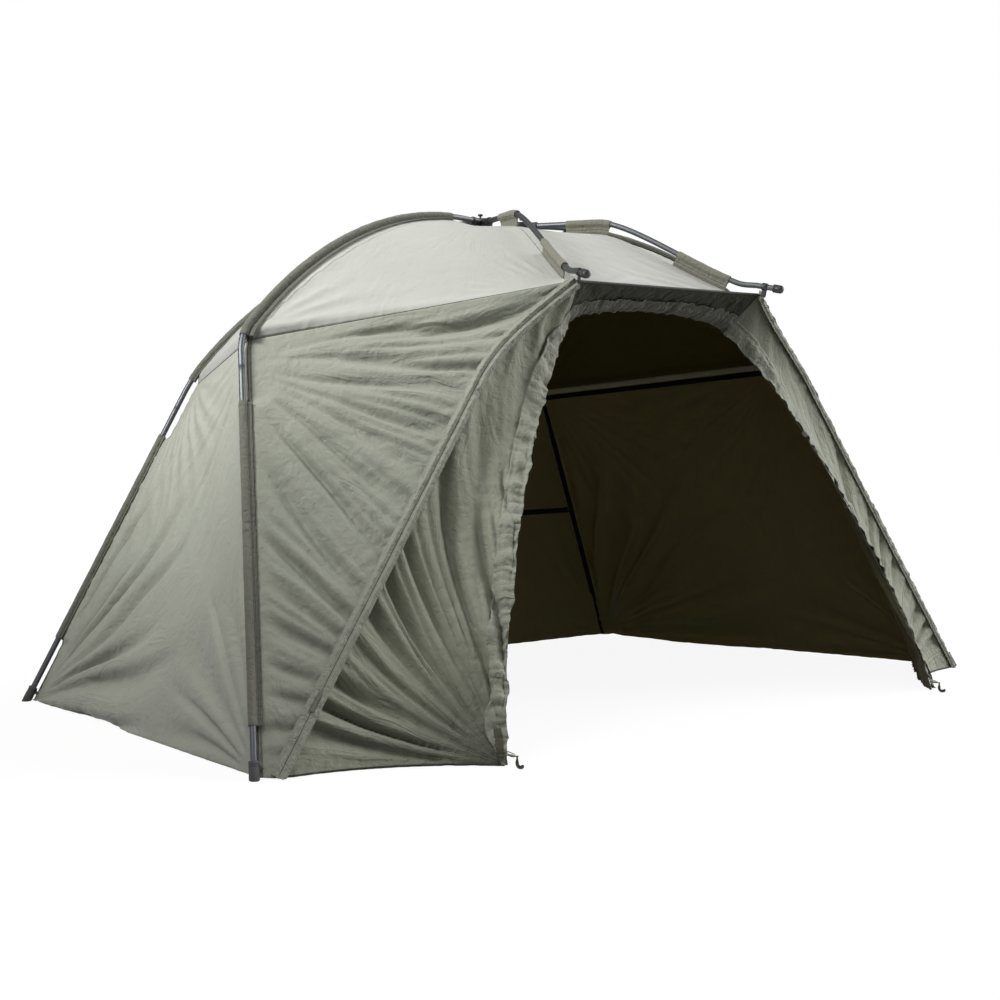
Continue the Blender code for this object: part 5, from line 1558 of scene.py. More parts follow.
@dataclass
class Hanging(Trade):
    """Hangs the shaped panels: on a wing whole, or across the middle as two halves."""

    tuck: float = 0.0006

    def on_wing(self, panel: Panel, side: Side, node_name: str) -> Cloth:
        """Hangs a panel on one wing and returns its shaped cloth."""
        cloth = panel.shaped(self.plan)
        mesh = cloth_mesh(panel.name, cloth.grid, self.plan.middle, panel.thickness, cloth.pull)
        made = piece(panel.name, mesh, panel.slot, [panel.outside, panel.inside], side.body, node_name)
        declared(cloth)
        return cloth

    def across(self, panel: Panel, node_name: str, in_front: bool) -> Cloth:
        """Hangs a panel across the middle and returns its shaped cloth, whole.

        The halves meet in the middle, and the last column of each is tucked under the other one.
        """
        cloth = panel.shaped(self.plan)
        half = cloth.grid.shape[1] // 2
        under = outward_normals(cloth.grid, cloth.middle) * self.tuck
        for side, cut, hidden in ((Side.LEFT, slice(0, half + 2), -1), (Side.RIGHT, slice(half - 1, None), 0)):
            name = f"{side.word}_{panel.name}"
            part = cloth.grid[:, cut].copy()
            part[:, hidden] -= under[:, cut][:, hidden]
            mesh = cloth_mesh(name, part, cloth.middle, panel.thickness, cloth.pull[:, cut])
            made = piece(name, mesh, panel.slot, [panel.outside, panel.inside], None, node_name)
            self.blended(made, side, in_front)
            declared(Cloth(name, part, self.plan.middle))
        return cloth


@dataclass
class Bindings(Trade):
    """The sewn trims: the gathered band of the doorway, the seams' piping, hem tapes and the tapes inside."""

    band_width: float = 0.050
    crown_share: float = 1.2
    band_steps: int = 16
    foot_reach: float = 0.09
    seam_level: float = 0.484
    tape_half: float = 0.009
    lining_past: float = 0.008
    lining_depth: float = 0.0030
    pole_tape_half: float = 0.0085
    pole_tape_depth: float = 0.0054
    tape_sunk: float = 0.0022

    def door_band(self, side: Side, door: Cloth) -> None:
        """Sews the gathered band along the doorway's edge of a door panel, narrower at its foot."""
        rows, columns = door.grid.shape[:2]
        down = np.linspace(0, rows - 1, 620)[:, None] + 0 * np.zeros((1, self.band_steps))
        count = np.arange(rows)
        widths = np.linalg.norm(door.grid[:, -1] - door.grid[:, -2], axis=1)
        step = np.interp(down[:, 0], count, widths)[:, None]
        away = np.linspace(self.band_width, -0.007, self.band_steps)[None]
        left_over = lengths_along(door.grid[:, -1])
        left_over = np.interp(down[:, :1], count, left_over[-1] - left_over)
        narrow = 0.30 + 0.70 * eased(left_over / self.foot_reach)
        inner = sampled(door.grid, down, columns - 1 - np.maximum(away, 0) * narrow / step)
        ways = read_at(down[:, 0], count, unit(door.grid[:, -1] - door.grid[:, -6]))
        along = metres_along(inner)[:, :1, 1]
        scallop = (0.6 + 0.9 * noise(along / 0.030, 0.5, 85)) * narrow
        base = inner + ways[:, None] * (np.maximum(-away, 0) * scallop)[..., None]
        grid = lifted(base, self.plan.middle, self.gathered(along, away, 1.0))
        self.sheet(side, "door_band", grid, self.skins.band, self.skins.band, thickness=0.0014, held="gathered",
                   rests_on=(f"{side.word}_door_drop",))

    def crown_band(self, header: Cloth) -> None:
        """Sews the gathered band along the arch's crown, as two halves."""
        rows, columns = header.grid.shape[:2]
        across = np.linspace(0, columns - 1, 481)[None]
        count = np.arange(columns)
        step = np.interp(across[0], count, np.linalg.norm(header.grid[-1] - header.grid[-2], axis=1))[None]
        away = np.linspace(self.band_width * self.crown_share, -0.004, self.band_steps)[:, None]
        inner = sampled(header.grid, rows - 1 - np.maximum(away, 0) / step, across + 0 * away)
        ways = read_at(across[0], count, unit(header.grid[-1] - header.grid[-5]))
        base = inner + ways[None] * np.maximum(-away, 0)[..., None]
        along = metres_along(base)[-1:, :, 0]
        for side, part in ((Side.LEFT, slice(0, 241)), (Side.RIGHT, slice(240, 481))):
            grid = lifted(base[:, part], header.middle, self.gathered(along[:, part], away, 0.55))
            self.sheet(side, "crown_band", grid, self.skins.crown_band, self.skins.crown_band, side, thickness=0.0014,
                       middle=header.middle, in_front=True, held="gathered", rests_on=(f"{side.word}_door_valance",))

    def gathered(self, along: Array, away: Array, share: float) -> Array:
        """Returns how high the band stands off its cloth: noise drawn out across it, strongest at the free edge.

        Args:
            along: how far along the band each point lies.
            away: how far from the doorway's edge it lies.
            share: how deep the ripples are.
        """
        free = 1 - np.clip(away / self.band_width, 0, 1)
        ripple = noise(along / 0.034, away / 0.06 + 3, 81) + 0.45 * noise(along / 0.015, away / 0.04, 82)
        drawn = noise(along / 0.060, away / 0.08, 83)
        sewn = np.exp(-(((away - 0.8 * self.band_width) / 0.004) ** 2))
        lift = 0.0050 + share * (0.0072 * ripple * (0.40 + 0.60 * free) + 0.007 * drawn) - 0.0030 * sewn
        return np.maximum(lift + 0.004 * np.sin(np.clip(free * 1.15, 0, 1) * math.pi), 0.0012)

    def hem(self, side: Side, door: Cloth) -> None:
        """Sews a dark turned hem along the foot of a door panel."""
        low = door.grid[-1, 2:-2].copy()
        low[:, 2] = np.maximum(low[:, 2], self.plan.hem_level)
        self.piping(side, "door_hem", side.of(low), 0.0032, self.skins.hem)

    def piping(self, side: Side, word: str, points: Array, radius: float, material: Material,
               blend: bool = False) -> None:
        """Sews a thin round piping along a right-side line, flattened to two thirds across."""
        name = f"{side.word}_{word}"
        rings = rings_along(side.of(points), circle(radius, 12) * (1.0, 0.7), self.plan.middle)
        made = piece(name, tube_mesh(name, rings), Slot.WALL, [material], None if blend else side.body)
        if blend:
            self.blended(made, side, True)

    def seams(self) -> None:
        """Sews the piping of the roof's seams and the front edge between the peaks."""
        lines = self.lines
        corner = self.plan.peak_corner() - UP * 0.001
        for side in Side:
            self.piping(side, "front_seam", lines.front_seam(160), 0.0017, self.skins.webbing)
            low = line(lines.beside(lines.front, -1)[0][-1], lines.beside(lines.rear, 1)[0][-1], 160)
            self.piping(side, "side_seam", low, 0.0018, self.skins.piping)
            self.piping(side, "brow_edge", line(corner * (0, 1, 1), corner, 60), 0.0036, self.skins.piping, True)

    def tape(self, side: Side, word: str, wall: Cloth, down: Array, span: Array, material: Material,
             blend: bool) -> None:
        """Glues a flat tape to the inner face of a wall, between the given rows and columns."""
        base = sampled(wall.grid, down + 0 * span, span + 0 * down)
        self.sheet(side, word, base, material, material, side if blend else None, sunk=self.tape_sunk)

    def cross_tape(self, rear: Cloth) -> None:
        """Glues a dark tape over the seam across the rear wall inside."""
        rows, columns = rear.grid.shape[:2]
        half = columns // 2
        height = float(lengths_along(rear.grid[:, half])[-1])
        levels = np.linspace(self.seam_level + self.tape_half, self.seam_level - self.tape_half, 5)[:, None]
        for side, first, last in ((Side.LEFT, 0, half), (Side.RIGHT, half, columns - 1)):
            span = np.linspace(first, last, 120)[None]
            self.tape(side, "cross_tape", rear, (rows - 1) * (1 - levels / height), span, self.skins.tape, True)

    def side_tapes(self, side: Side, wall: Cloth) -> None:
        """Glues a light tape over a dark one inside, along the top of a side wall."""
        rows, columns = wall.grid.shape[:2]
        height = float(lengths_along(wall.grid[:, columns // 2])[-1])
        span = np.linspace(1, columns - 2, 140)[None]
        for word, top, bottom, material in (("light", 0.003, 0.021, self.skins.lining),
                                            ("dark", 0.024, 0.042, self.skins.tape)):
            down = (rows - 1) * np.linspace(top, bottom, 5)[:, None] / height
            self.tape(side, f"{word}_side_tape", wall, down, span, material, False)

    def limb_tapes(self) -> None:
        """Covers the gap behind each pole with an olive strip, and the rear ones with a black tape over it."""
        for side in Side:
            for word, limb in self.lines.limbs.items():
                for part, name in ((0, "rib"), (1, "leg")):
                    first, last = (self.lines.beside(limb, hand)[part][8 * (1 - part) :] for hand in (1, -1))
                    across = unit(first - last)
                    inward = unit(self.plan.middle - (first + last) / 2)
                    olive = self.skins.door_inside if word == "front" else self.skins.inside
                    past, deep = across * self.lining_past, inward * self.lining_depth
                    self.limb_tape(side, f"{word}_{name}_lining", first + past + deep, last - past + deep, olive)
                    if word == "rear":
                        centre = (first + last) / 2 + inward * self.pole_tape_depth
                        half = across * self.pole_tape_half
                        self.limb_tape(side, f"{word}_{name}_tape", centre + half, centre - half, self.skins.tape)

    def limb_tape(self, side: Side, word: str, first: Array, last: Array, material: Material) -> None:
        """Makes a flat strip between two right-side lines, with the sleeves' cloth outside."""
        base = ruled(spread(first, 110), spread(last, 110), 5)
        base[..., 2] = np.maximum(base[..., 2], self.plan.hem_level)
        self.sheet(side, word, side.of(base), self.skins.casing, material)


@dataclass
class Poles(Trade):
    """The ribs with their elbows, the legs, their feet, and the peak poles with their caps and clips."""

    sides: int = 32
    spigot_radius: float = 0.0055
    spigot_length: float = 0.085
    bore_radius: float = 0.006
    bore_depth: float = 0.090
    foot_radius: float = 0.0125
    foot_height: float = 0.045
    foot_sole: float = 0.014

    def everything(self) -> None:
        """Makes the poles of both sides."""
        for side in Side:
            for word, limb in self.lines.limbs.items():
                self.rib(side, word, limb)
                self.leg(side, word, limb)
                self.foot(side, word, limb)
            self.peak(side)

    def rib(self, side: Side, word: str, limb: Limb) -> None:
        """Makes a rib: its arc, its pre-bent elbow, a swaged lip and the spigot for the leg."""
        radius = self.plan.pole_radius
        path = np.concatenate([limb.arc, limb.turn[1:], line(limb.turn[-1], limb.ferrule, 8)[1:]])
        rings = rings_along(path, circle(radius, self.sides), self.plan.middle)
        last = rings[-1] - limb.ferrule
        thin = self.spigot_radius / radius
        steps = ((-0.0030, 1.0), (-0.0024, 1.07), (-0.0006, 1.07), (0.0, 1.0), (0.0, thin),
                 (self.spigot_length - 0.002, thin), (self.spigot_length, 0.55))
        end = [limb.ferrule + limb.down * far + last * size for far, size in steps]
        rings = np.concatenate([rings[:-1], end])
        self.solid(side, f"{word}_bow", [rings], Slot.ALLOY, self.skins.alloy, f"{word}_rib")

    def leg(self, side: Side, word: str, limb: Limb) -> None:
        """Makes a leg: a tube bored at its top for the spigot."""
        top = limb.ferrule + limb.down * 0.0004
        run = float((limb.at_level(0.0) - top) @ limb.down) - self.foot_sole
        radius = self.plan.pole_radius
        bore = self.bore_radius
        steps = [(self.bore_depth, bore), (0.0005, bore), (0.0, radius - 0.0006), (0.0006, radius)]
        steps += [(far, radius) for far in np.linspace(0.02, run - 0.002, 24)] + [(run, radius - 0.001)]
        rings = turned_rings(top, limb.down, steps, self.sides)
        self.solid(side, f"{word}_tube", [rings], Slot.ALLOY, self.skins.alloy, f"{word}_leg", f"{word}_support")

    def foot(self, side: Side, word: str, limb: Limb) -> None:
        """Makes the ribbed rubber plug that the leg stands in, cut level where it meets the ground."""
        top = limb.at_level(0.0) - limb.down * self.foot_height
        radius = self.foot_radius
        inner = self.plan.pole_radius + 0.0004
        steps = [(self.foot_height - self.foot_sole, inner), (0.0, inner), (-0.0005, inner + 0.0010),
                 (0.0, radius - 0.0012), (0.0012, radius)]
        for far in (0.008, 0.012, 0.016):
            steps += [(far - 0.001, radius), (far - 0.0004, radius - 0.0009), (far + 0.0010, radius - 0.0009),
                      (far + 0.0016, radius)]
        rings = turned_rings(top, limb.down, steps, self.sides)
        full = turned_rings(top, limb.down, [(0.0, radius), (0.0, radius - 0.0014)], self.sides)
        wide = full[:1] - limb.down * ((full[:1, :, 2:] - 0.0020) / limb.down[2])
        sole = full[1:] - limb.down * (full[1:, :, 2:] / limb.down[2])
        rings = np.concatenate([rings, wide, sole])
        self.solid(side, f"{word}_plug", [rings], Slot.RUBBER, self.skins.rubber, f"{word}_foot", f"{word}_support")

    def peak(self, side: Side) -> None:
        """Makes a peak pole, its rounded end cap, and the clip that holds the corner of the cloth."""
        plan = self.plan
        points, reaches = plan.peak_line()
        rings = rings_along(points, circle(plan.pole_radius, self.sides), plan.middle)
        self.solid(side, "peak_bow", [rings], Slot.ALLOY, self.skins.alloy, "peak_pole")
        way = unit(points[-1] - points[-2])
        steps = [(0.0154, 0.0084), (0.0004, 0.0084), (0.0, 0.0092), (0.0, 0.0112), (0.001, 0.0120), (0.0040, 0.0120),
                 (0.0046, 0.0114), (0.0066, 0.0114), (0.0072, 0.0120), (0.0220, 0.0118), (0.0262, 0.0104),
                 (0.0288, 0.0076), (0.0300, 0.0040)]
        rings = turned_rings(points[-1] - way * 0.015, way, steps, self.sides)
        self.solid(side, "peak_plug", [rings], Slot.MOULDING, self.skins.moulding, "peak_cap")
        reach = math.hypot(plan.peak[0] - plan.block_out, plan.peak[1]) + 0.009
        seat = read_at(reach, reaches, points)
        steps = [(0.0, 0.0083), (0.0, 0.0100), (0.0012, 0.0108), (0.0148, 0.0108), (0.0160, 0.0100), (0.0160, 0.0083)]
        collar = turned_rings(seat, way, steps, self.sides)
        below = unit(-UP - way * (-UP @ way))
        tongue = pebble(seat + way * 0.008 + below * 0.020, (way, below, np.cross(way, below)),
                        (0.0078, 0.0105, 0.0024), 0.4)
        parts = [(collar[:3], collar[:2:-1]), tongue]
        self.solid(side, "peak_hook", parts, Slot.MOULDING, self.skins.moulding, "peak_clip")


@dataclass
class Hub(Trade):
    """The two blocks that the poles start from, their sockets and their winged knobs."""

    sides: int = 56
    small_sides: int = 28

    def everything(self) -> None:
        """Makes the blocks, sockets and knobs of both sides, and finishes the bracket."""
        for side in Side:
            self.block(side)
            self.sockets(side)
            self.knob(side)
        bracket = bpy.data.objects["hub_bracket"]
        bracket.data.materials.clear()
        bracket.data.materials.append(self.skins.moulding)

    def block(self, side: Side) -> None:
        """Makes a block: a turned body with rounded rims, a groove and a raised top."""
        top = self.plan.place(self.plan.block_out, 0.0, self.plan.pole_level)
        steps = [(-0.0330, 0.0180), (-0.0330, 0.0225), (-0.0322, 0.0243), (-0.0306, 0.0254), (-0.0280, 0.0256),
                 (-0.0150, 0.0256), (-0.0143, 0.0248), (-0.0125, 0.0248), (-0.0118, 0.0256), (0.0085, 0.0256),
                 (0.0106, 0.0250), (0.0117, 0.0236), (0.0120, 0.0215), (0.0114, 0.0205), (0.0114, 0.0150)]
        rings = turned_rings(top, UP, steps, self.sides)
        self.solid(side, "pivot_block", [rings], Slot.MOULDING, self.skins.moulding, "hub_block")

    def sockets(self, side: Side) -> None:
        """Makes the three short sockets that the poles are pushed into."""
        peak, _ = self.plan.peak_line()
        tubes = []
        for path, length in ((self.lines.front.arc, 0.034), (self.lines.rear.arc, 0.034), (peak, 0.030)):
            steps = [(-0.006, 0.0095), (0.0, 0.0112), (length - 0.010, 0.0108), (length - 0.0096, 0.0116),
                     (length - 0.002, 0.0116), (length, 0.0106), (length, 0.0078)]
            tubes.append(turned_rings(path[0], unit(path[3] - path[0]), steps, self.small_sides))
        self.solid(side, "sockets", tubes, Slot.MOULDING, self.skins.moulding)

    def knob(self, side: Side) -> None:
        """Makes the winged knob that clamps a block."""
        top = self.plan.place(self.plan.block_out + 0.014, 0.0, self.plan.pole_level + 0.0124)
        steps = [(0.0, 0.0030), (0.0055, 0.0030), (0.0060, 0.0068), (0.0066, 0.0075), (0.0104, 0.0075),
                 (0.0114, 0.0070), (0.0120, 0.0058), (0.0120, 0.0030)]
        stem = turned_rings(top, UP, steps, self.small_sides)
        ahead = unit(np.array((1.0, -1.0, 0.0)))
        wings = pebble(top + UP * 0.009, (ahead, np.cross(UP, ahead), UP), (0.0130, 0.0020, 0.0026), 0.5)
        self.solid(side, "clamp_knob", [stem, wings], Slot.MOULDING, self.skins.moulding, "hub_knob", "knob")


@dataclass
class Casings(Trade):
    """The stitched sleeves that hold the cloth to the poles."""

    wall: float = 0.0012
    fineness: float = 0.0065
    dome: float = 0.0108
    bore: float = 0.0092
    rib_start: float = 0.140
    wide_half: float = 0.0245
    leg_half: float = 0.0190
    peak_spans: tuple = (("inner", 0.150, 0.290), ("outer", 0.50034, 0.65534))

    def outline(self, right: tuple, first: float, steps: int) -> Array:
        """Returns an outline from under the pole round to it again: one side, a dome over the pole, the other."""
        arc = np.radians(np.linspace(first, 180 - first, steps))
        dome = self.dome * np.stack([np.cos(arc), np.sin(arc)], axis=1)
        half = np.array(right)
        return np.concatenate([half, dome, half[:0:-1] * (-1, 1)])

    def band_outline(self, half: float) -> Array:
        """Returns a sleeve's outline, drawn taut over a flat band."""
        return self.outline(((0.0, -0.0106), (0.009, -0.0106), (half - 0.0040, -0.0106), (half - 0.0004, -0.0104),
                             (half, -0.0098), (half - 0.0006, -0.0091), (half - 0.0026, -0.0087),
                             (half - 0.0042, -0.0089), (0.0148, -0.0085), (0.0128, -0.0080), (0.0108, -0.0066)),
                            -28, 25)

    def fin_outline(self) -> Array:
        """Returns a peak sleeve's outline: the cloth meets under the pole and hangs as an upright fin."""
        foot = -0.0106 - self.plan.fin_depth
        return self.outline(((0.0, foot), (0.0012, foot), (0.0017, foot + 0.002), (0.0015, foot + 0.008),
                             (0.0015, foot + 0.016), (0.0019, foot + 0.022), (0.0034, -0.0116), (0.0062, -0.0094)),
                            -38, 27)

    def casing(self, side: Side, word: str, path: Array, outline: Array, material: Material,
               node_name: str, seed: int) -> None:
        """Makes one sleeve along a path, with small wrinkles and puckered ends.

        The wrinkles are noise along the path and round the outline; the ends are drawn in over 12 mm.
        """
        length = float(lengths_along(path)[-1])
        count = max(int(length / self.fineness), 12)
        points = spread(path, count)
        along = np.linspace(0, length, count)[:, None]
        share = np.arange(len(outline))[None] / len(outline)
        swell = 0.0005 * noise(along / 0.045, share * 6, seed) + 0.0004 * noise(along / 0.014, share * 9, seed + 1)
        ends = np.minimum(along, length - along)
        hemmed = 0.0005 * np.exp(-(((ends - 0.009) / 0.004) ** 2)) - 0.0003 * np.exp(-ends / 0.004)
        shape = outline[None] + unit(outline * (0.5, 1.0))[None] * (swell + hemmed)[..., None]
        reach = np.linalg.norm(outline, axis=1, keepdims=True)
        bore = outline / reach * np.minimum(reach - self.wall, self.bore)
        part = tuple(rings_along(points, ring, self.plan.middle) for ring in (shape, bore))
        self.solid(side, word, [part], Slot.WEBBING, material, node_name)

    def everything(self) -> None:
        """Makes the sleeves of both sides."""
        wide_band, band, fin = self.band_outline(self.wide_half), self.band_outline(self.leg_half), self.fin_outline()
        points, reaches = self.plan.peak_line()
        along = lengths_along(points)
        for side in Side:
            for word, limb in self.lines.limbs.items():
                path = np.concatenate([limb.arc, limb.turn[1:9]])
                run = stretch(path, self.rib_start, float(lengths_along(path)[-1]), 200)
                self.casing(side, f"{word}_rib_casing", run, wide_band, self.skins.rib_casing, f"{word}_rib_sleeve", 91)
                run = line(*map(limb.at_level, limb.sleeve), 100)
                self.casing(side, f"{word}_leg_casing", run, band, self.skins.casing, f"{word}_leg_sleeve", 93)
            for word, start, end in self.peak_spans:
                first, last = np.interp((start, end), reaches, along)
                run = stretch(points, float(first), float(last), 60)
                self.casing(side, f"{word}_peak_casing", run, fin, self.skins.fin, f"peak_{word}_sleeve", 95)


@dataclass
class Zips(Trade):
    """The zips from the front feet to the peaks: two padded flaps, the teeth between them, slider and pull."""

    slider_level: float = 0.172
    low: float = 0.0015
    points: int = 420
    seat_point: int = 8

    def everything(self) -> None:
        """Makes the zips of both sides."""
        for side in Side:
            self.flaps(side)
            self.slider(side)

    def carried(self, shape: Array) -> Array:
        """Returns the rings of an outline, the same or one for each point, carried along the zip's line."""
        points, _, outward, aside = self.lines.zip_frame(self.points)
        rings = points[:, None] + shape[..., :1] * aside[:, None] + shape[..., 1:] * outward[:, None]
        rings[..., 2] = np.maximum(rings[..., 2], self.low)
        return rings

    def flaps(self, side: Side) -> None:
        """Makes the two padded flaps and the coil between them, along the whole zip.

        The flaps' height varies with noise along the zip, as the gathered cloth swells beside the teeth.
        """
        right = np.array(((0.0, -0.0022), (0.010, -0.0022), (0.0186, -0.0010), (0.0190, 0.0006), (0.0172, 0.0024),
                          (0.0150, 0.0028), (0.0138, 0.0042), (0.0124, 0.0068), (0.0104, 0.0084), (0.0078, 0.0086),
                          (0.0058, 0.0074), (0.0046, 0.0066), (0.0026, 0.0060), (0.0010, 0.0056)))
        outline = np.concatenate([right, right[:0:-1] * (-1, 1)])
        far = lengths_along(self.lines.zip_frame(self.points)[0])[:, None]
        left_half = (np.arange(len(outline)) > len(right))[None]
        swell = 1 + 0.30 * noise(far / 0.030, np.where(left_half, 3.3, 0.4), 101)
        swell = swell + 0.22 * noise(far / 0.012, np.where(left_half, 7.3, 5.4), 102)
        free = (outline[None, :, 1] > 0.001) & (np.abs(outline[None, :, 0]) > 0.007)
        shape = outline[None] * np.stack([0.96 + 0.04 * swell, np.where(free, swell, 1.0)], axis=-1)
        self.solid(side, "zip_flaps", [self.carried(shape)[:-1]], Slot.WEBBING, self.skins.bead, "zip_tape")
        coil = circle(0.0011, 10) * (1.0, 0.7) + (0.0, 0.0052)
        self.solid(side, "zip_coil", [self.carried(coil[None])[2:-2]], Slot.METAL, self.skins.teeth)

    def slider(self, side: Side) -> None:
        """Makes the slider, its bridge and its pull, which hangs from the bridge's eye."""
        points, along, outward, aside = self.lines.zip_frame(self.points)
        way, out, across = along[self.seat_point], outward[self.seat_point], aside[self.seat_point]
        axes = (way, across, out)
        seat = points[0] + way * (self.slider_level - self.plan.hem_level) / way[2]
        centre = seat + out * 0.0044
        body = pebble(centre, axes, (0.0120, 0.0062, 0.0030), 0.45)
        bridge = pebble(centre + out * 0.0032 + way * 0.001, axes, (0.0070, 0.0014, 0.0016), 0.5)
        self.solid(side, "zip_runner", [body, bridge], Slot.METAL, self.skins.slider, "zip_slider", "slider")
        eye = centre + out * 0.0044
        tab = pebble(eye - way * 0.0125, axes, (0.0125, 0.0034, 0.0009), 0.3)
        grip = pebble(eye - way * 0.0300, axes, (0.0110, 0.0046, 0.0011), 0.25)
        self.solid(side, "zip_tag", [tab, grip], Slot.METAL, self.skins.slider, "zip_pull", "pull")


@dataclass
class Pegging(Trade):
    """What ties the cloth down: the loops and hooks at the doorway's feet, and the ties at the poles' feet."""

    hook_level: float = 0.027
    loop_length: float = 0.030
    stand_off: float = 0.0016

    def everything(self) -> None:
        """Makes the ties of both sides."""
        for side in Side:
            self.loop(side)
            self.hook(side)
            self.cord(side)
            self.foot_ties(side)

    def seat(self) -> Array:
        """Returns the point of the doorway's edge that the loop is sewn to."""
        arch = self.plan.arch_line(200)
        return read_at(self.hook_level, arch[:, 2], arch)

    def loop(self, side: Side) -> None:
        """Makes the folded webbing loop, pinched where it is sewn and open round the hook."""
        ways = np.linspace(0, 1, 40)[:, None]
        path = self.seat() + AHEAD * (self.stand_off + self.loop_length * ways)
        path = path + UP * 0.0006 * np.sin(ways * math.pi * 2)
        wide = 0.0098 * (1 - 0.18 * np.sin(ways * math.pi) ** 2)
        turns = np.arange(20)[None] * math.tau / 20
        x = wide * powered(np.cos(turns), 0.5)
        z = 0.0010 * powered(np.sin(turns), 0.6) + 0 * wide
        rings = path[:, None] + x[..., None] * ACROSS + z[..., None] * UP
        self.solid(side, "peg_webbing", [rings], Slot.WEBBING, self.skins.webbing, "peg_loop")

    def hook(self, side: Side) -> None:
        """Makes the round hook that hangs from the loop."""
        eye = self.seat() + AHEAD * (self.stand_off + self.loop_length + 0.003 + 0.0004)
        base = eye - UP * 0.014
        turns = np.linspace(0, math.pi * 0.9, 28)[1:, None]
        curl = base + (AHEAD - np.cos(turns) * AHEAD - np.sin(turns) * UP) * 0.010
        path = np.concatenate([line(eye, base, 12), curl])
        inner = np.cross(unit(np.gradient(path, axis=0)), ACROSS)
        size = 0.0022 + 0.0020 * eased((lengths_along(path)[:, None] - 0.004) / 0.010)
        size[-3:] = size[-4] * np.array(((0.92,), (0.8,), (0.45,)))
        turn = np.arange(20)[None] * math.tau / 20
        rings = path[:, None] + (size * np.cos(turn))[..., None] * ACROSS
        rings = rings + (size * np.sin(turn))[..., None] * inner[:, None]
        self.solid(side, "ground_hook", [rings], Slot.MOULDING, self.skins.moulding, "peg_hook", "hook")

    def cord(self, side: Side) -> None:
        """Makes the thin pale cord that is looped round the webbing beside the hook."""
        centre = self.seat() + np.array((0.0, -0.013, 0.0042))
        turns = np.linspace(0, math.tau, 49)[:-1, None]
        path = centre + np.cos(turns) * np.array((0.0, -1.0, -0.18)) * 0.0165 + np.sin(turns) * ACROSS * 0.0062
        outward = unit(path - centre)
        turn = np.arange(10)[None] * math.tau / 10
        rings = path[:, None] + 0.0013 * (np.cos(turn)[..., None] * outward[:, None] + np.sin(turn)[..., None] * UP)
        self.solid(side, "cord_loop", [(rings[:24], rings[:23:-1])], Slot.WEBBING, self.skins.cord)

    def tab(self, side: Side, door: Cloth) -> None:
        """Sews the webbing tab over the gathered band at the door's foot."""
        rows, columns = door.grid.shape[:2]
        rise = lengths_along(door.grid[::-1, -1])[::-1]
        down = np.interp(-np.linspace(0.084, 0.016, 24), -rise, np.arange(rows))[:, None]
        step = np.linalg.norm(door.grid[-30, -1] - door.grid[-30, -2])
        away = np.linspace(0.034, 0.008, 12)[None] * np.linspace(1.0, 0.72, 24)[:, None]
        base = sampled(door.grid, down + 0 * away, columns - 1 - away / step)
        self.sheet(side, "door_tab", lifted(base, self.plan.middle, 0.0125), self.skins.webbing, self.skins.webbing,
                   slot=Slot.WEBBING, thickness=0.0016, rests_on=(f"{side.word}_door_band",))

    def foot_ties(self, side: Side) -> None:
        """Makes the short webbing ties from the cloth's corners to the feet."""
        for word, limb in self.lines.limbs.items():
            corner = self.lines.wall_edge(limb, 1, 60)[-2] + UP * 0.010
            pole = limb.at_level(0.030)
            gap = unit((pole - corner) * (1, 1, 0))
            stop = pole - gap * 0.0118
            path = bezier([corner - gap * 0.012, corner - UP * 0.002, stop - UP * 0.004, stop], 24)
            rings = rings_along(path, circle(0.0048, 14) * (0.26, 1.0), self.plan.middle)
            self.solid(side, f"{word}_tie", [rings], Slot.WEBBING, self.skins.webbing)


